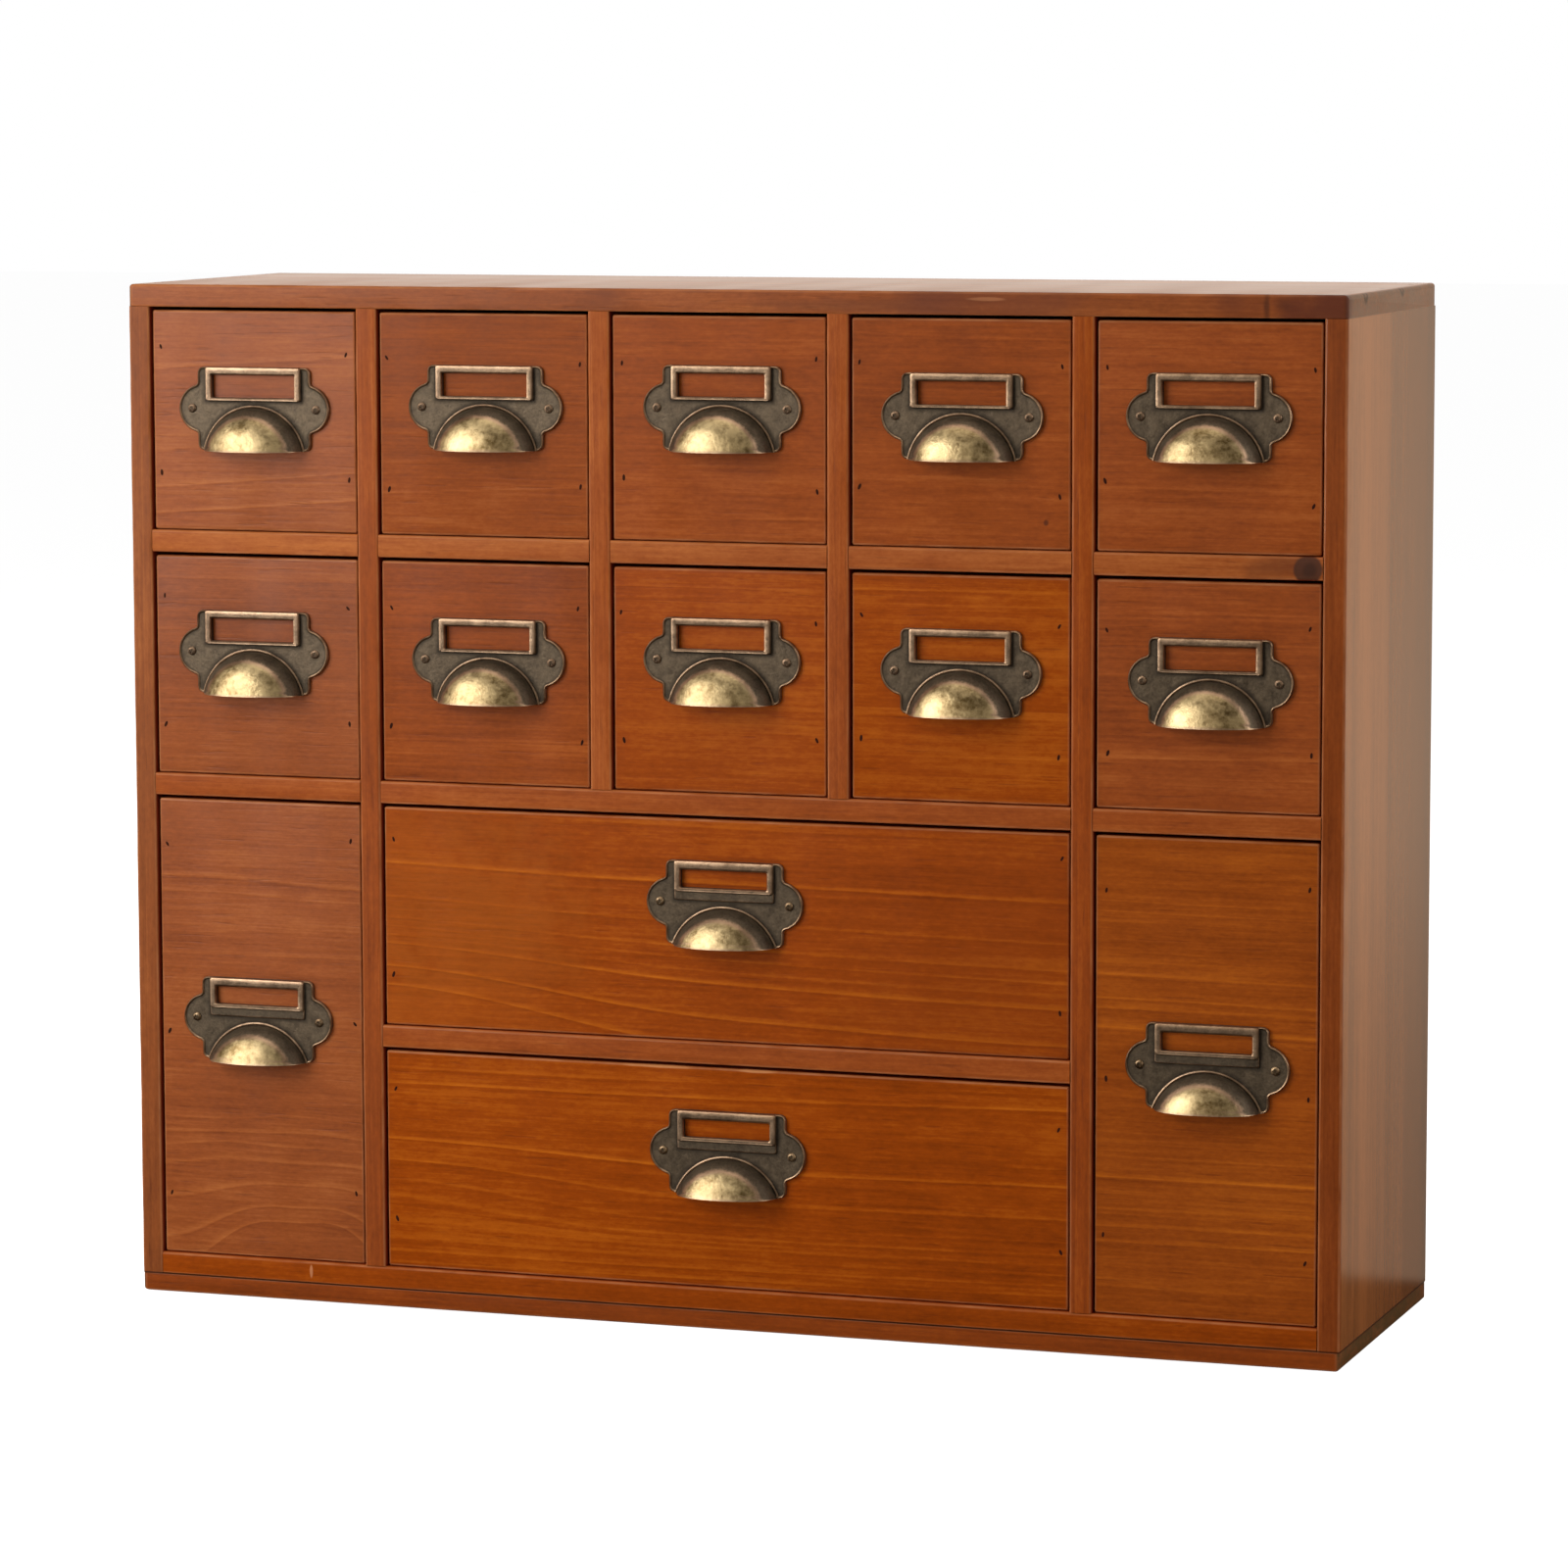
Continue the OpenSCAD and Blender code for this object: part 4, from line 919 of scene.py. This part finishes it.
class Growth:
    """A tree of geometry nodes with loose points in, a plain mesh out, and named sizes."""

    def __init__(self, name, sizes):
        self.tree = bpy.data.node_groups.new(name, "GeometryNodeTree")
        for way in ("INPUT", "OUTPUT"):
            self.tree.interface.new_socket("Geometry", in_out=way, socket_type="NodeSocketGeometry")
        for label, value in sizes.items():
            self.tree.interface.new_socket(label, in_out="INPUT", socket_type="NodeSocketFloat").default_value = value
        self.tree.interface.new_socket("Finish", in_out="INPUT", socket_type="NodeSocketMaterial")
        self.given = self.tree.nodes.new("NodeGroupInput").outputs

    def add(self, kind, sockets=(), out=0, **settings):
        kind = kind if "Node" in kind else "GeometryNode" + kind
        outputs = new_node(self.tree, kind, dict(sockets), settings)
        return outputs[out] if outputs else None

    def vector(self, **parts):
        return self.add("ShaderNodeCombineXYZ", {key.upper(): value for key, value in parts.items()})

    def moved(self, shape, **change):
        return self.add("Transform", {"Geometry": shape, **change})

    def marked(self, shape, name, value):
        return self.add("StoreNamedAttribute", {"Geometry": shape, "Name": name, "Value": value},
                        data_type="FLOAT", domain="POINT")

    def spread(self, shape, **more):
        """Ends the tree: the shape on every point, with the point's own turn."""
        turn = self.add("InputNamedAttribute", {"Name": "turn"}, data_type="FLOAT")
        placed = self.add("InstanceOnPoints", {"Points": self.given["Geometry"], "Instance": shape,
                                                   "Rotation": self.vector(y=turn), **more})
        real = self.add("RealizeInstances", {"Geometry": placed})
        coated = self.add("SetMaterial", {"Geometry": real, "Material": self.given["Finish"]})
        self.add("NodeGroupOutput", {0: coated})

    def grown(self, name, points, turns, values):
        """The mesh that the tree grows on these points."""
        mesh = bpy.data.meshes.new(name)
        mesh.from_pydata(points, [], [])
        mesh.attributes.new("turn", "FLOAT", "POINT").data.foreach_set("value", turns)
        carrier = bpy.data.objects.new(name, mesh)
        bpy.context.scene.collection.objects.link(carrier)
        modifier = carrier.modifiers.new(name, "NODES")
        modifier.node_group = self.tree
        for item in self.tree.interface.items_tree:
            if item.item_type == "SOCKET" and item.in_out == "INPUT" and item.name in values:
                modifier[item.identifier] = values[item.name]
        seen = carrier.evaluated_get(bpy.context.evaluated_depsgraph_get())
        plain = bpy.data.meshes.new_from_object(seen)
        carrier.modifiers.remove(modifier)
        bpy.data.objects.remove(carrier)
        return plain


screws = Growth("screw_heads", {
    "Head Radius": 2.2 * MM, "Head Height": 1.2 * MM, "Recess Width": 0.9 * MM, "Brightness": 0.7})
given = screws.given
ball = screws.add("MeshUVSphere", {"Segments": 28, "Rings": 18, "Radius": 1.0})
squash = screws.vector(x=given["Head Radius"], y=given["Head Height"], z=given["Head Radius"])
slit = screws.add("MeshCube", {"Size": screws.vector(x=given["Recess Width"], y=1.1 * MM, z=2.4 * MM)})
slit = screws.moved(slit, Translation=(0, -1.1 * MM, 0))
crossed = screws.moved(slit, Rotation=(0, math.pi / 2, 0))
cap = screws.add("MeshBoolean", {0: screws.moved(ball, Scale=squash), 1: [crossed, slit]},
                 operation="DIFFERENCE", solver="EXACT")
along = screws.add("ShaderNodeSeparateXYZ", {0: screws.add("InputPosition")}).node.outputs
away = screws.add("ShaderNodeVectorMath", {0: screws.vector(x=along[0], y=along[2])}, out=1, operation="LENGTH")
central = screws.add("ShaderNodeMapRange", {0: away, 1: 0.9 * MM, 2: 1.5 * MM, 3: 1.0, 4: 0.0})
screws.spread(screws.marked(screws.marked(cap, "bright", given["Brightness"]), "soot", central))
rng = random.Random(12)
for drawer in FRONTS:
    low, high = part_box(drawer + "_pull")
    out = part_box(drawer + "_front")[0][1] - (PLATE + 0.05) * MM
    points = [((low[0] + high[0]) / 2 + side * SCREW_X * MM, out, low[2] + SCREW_Z * MM) for side in (-1, 1)]
    mesh = screws.grown("screws", points, [rng.uniform(0, math.pi), rng.uniform(0, math.pi)],
                        {"Finish": brass, "Brightness": 0.65 if small[drawer] else 1.05})
    mount(drawer + "_pull_screws", mesh, [], drawer, "antique_brass", drawer + "_pull")

# Brads: thin blued pins through the drawer fronts into the sides, their narrow heads
# punched just under the varnish, where the stain has gathered round them.
brad_steel, shade = new_material("blued_brads")
spots = shade.place().cloud((800, 800, 800), (0, 0, 0), 2.0, 0.6)
colour = (spots + 0.5).blend((0.012, 0.004, 0.002), (0.045, 0.012, 0.005))
shade.end({"Base Color": colour, "Roughness": 0.8 + spots * 0.3, "IOR": 1.15})
brads = Growth("brad_heads", {"Width": 0.6 * MM, "Height": 1.3 * MM})
head = brads.add("MeshCylinder", {"Vertices": 14, "Radius": 1.0, "Depth": 0.1 * MM})
head = brads.moved(head, Rotation=(math.pi / 2, 0, 0))
head = brads.moved(head, Scale=brads.vector(x=brads.given["Width"], y=1.0, z=brads.given["Height"]))
vary = brads.add("FunctionNodeRandomValue", {2: 0.75, 3: 1.2, "Seed": 5}, out=1, data_type="FLOAT")
brads.spread(head, Scale=vary)
# heights of the brads above the front's lower edge, left side and right side
BRADS = {
    "upper_drawer_1": ((90, 28), (87, 26)), "upper_drawer_2": ((86, 22), (84, 25)),
    "upper_drawer_3": ((85, 30), (88, 25)), "upper_drawer_4": ((87, 28), (86, 25)),
    "upper_drawer_5": ((86, 33), (86, 23)), "middle_drawer_1": ((88, 24), (84, 27)),
    "middle_drawer_2": ((85, 27), (87, 22)), "middle_drawer_3": ((86, 24), (83, 27)),
    "middle_drawer_4": ((88, 29), (85, 23)), "middle_drawer_5": ((84, 26), (87, 28)),
    "tall_drawer_left": ((206, 112, 30), (211, 120, 35)), "tall_drawer_right": ((203, 113, 38), (207, 108, 30)),
    "wide_drawer_upper": ((92, 25), (96, 22)), "wide_drawer_lower": ((89, 24), (87, 28)),
}
rng = random.Random(7)
for drawer, sides in BRADS.items():
    low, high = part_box(drawer + "_front")
    points = [(edge + inward * rng.uniform(3.6, 5.6) * MM, low[1] - 0.02 * MM, low[2] + z * MM)
              for (edge, inward), heights in zip(((low[0], 1), (high[0], -1)), sides) for z in heights]
    mesh = brads.grown("brads", points, [rng.gauss(0, 0.35) for _ in points], {"Finish": brad_steel})
    mount(drawer + "_brads", mesh, [], drawer, "nail_steel")

# Stage: a floor that is plain white to the camera and shows a painted reflection to the varnish and the
# brass, and studio light. A broad soft light from the front left, a weaker one from the right, and white walls all
# round.
material, shade = new_material("studio_floor")
path = shade.add("LightPath")
glossy = Shade(shade.tree, path.socket.node.outputs["Is Glossy Ray"])
matte = shade.add("BsdfDiffuse", {"Color": (0.7, 0.7, 0.7, 1)})
lit = shade.add("Emission", {"Color": (1, 1, 1, 1), "Strength": path * 0.88})
# what reflections see of the floor is a painted reflection: a warm glow, brighter to the right behind and the left in
# front, dark close to the chest and dimmer in front of it out to a few metres
right, back, _ = shade.place().parts()
crossed = (right * back).between(-2, 2)
before = back.between(-0.5, -0.4)
near = before * (1 - back.between(0.12, 0.15) * 0.7 - back.between(0.1, 2.0) * 0.3)
ahead = back.between(-6.5, -2.5) * (1 - before)
painted_reflection = shade.add("Emission", {
    "Color": (1, 0.77, 0.56, 1), "Strength": (0.32 + crossed * 0.5) * (1 - near * 0.93) * (1 - ahead * 0.9)})
surface = shade.add("MixShader", {0: glossy, 1: shade.add("AddShader", {0: matte, 1: lit}), 2: painted_reflection})
shade.add("OutputMaterial", {"Surface": surface})
bm = bmesh.new()
bmesh.ops.create_grid(bm, x_segments=2, y_segments=2, size=15)
floor = bpy.data.objects.new("floor", meshed("floor", bm))
floor.location.z = -0.0005
bpy.context.scene.collection.objects.link(floor)
floor.data.materials.append(material)

world = bpy.data.worlds.new("studio")
world.use_nodes = True
world.node_tree.nodes.clear()
sky = Shade(world.node_tree)
path = sky.add("LightPath")
glossy = Shade(sky.tree, path.socket.node.outputs["Is Glossy Ray"])
right, back, up = sky.add("TexCoord").parts()
walls = 1 - up.between(0.25, 0.85) * 0.75
crossed = (right * back).between(-0.2, 0.2)
rear = back.between(0.3, 0.6) * (1 - right.between(-0.1, 0.0)) * (1 - up.between(0.2, 0.4))
strength = path + (1 - path) * walls * (0.3 + glossy * (0.06 + crossed * 0.4 + rear * 1.0))
colour = (glossy * (1 - rear * 0.6)).blend((1, 1, 1), (1, 0.88, 0.7))
sky.add("OutputWorld", {"Surface": sky.add("Background", {"Color": colour, "Strength": strength})})
bpy.context.scene.world = world

for name, place, size, power, colour in [
    ("key_light", (-0.98, -1.15, 0.76), 1.0, 20, (1, 1, 1)), ("front_light", (1.8, -2.2, 0.9), 1.2, 1.0, (1, 1, 1)),
    ("side_light", (1.8, 0.05, 1.15), 1.2, 16, (1, 1, 1)), ("top_light", (0.0, -0.3, 2.2), 1.6, 15, (1, 0.94, 0.86)),
    ("back_light", (-0.88, 2.3, 1.2), 1.5, 5.0, (1, 0.88, 0.75)),
]:
    lamp = bpy.data.lights.new(name, "AREA")
    lamp.size, lamp.energy, lamp.color = size, power, colour
    holder = bpy.data.objects.new(name, lamp)
    holder.location = place
    holder.rotation_euler = (Vector((0, 0, 0.25)) - Vector(place)).to_track_quat("-Z", "Y").to_euler()
    holder.visible_camera = False
    bpy.context.scene.collection.objects.link(holder)
bpy.context.scene.view_settings.view_transform = "Standard"
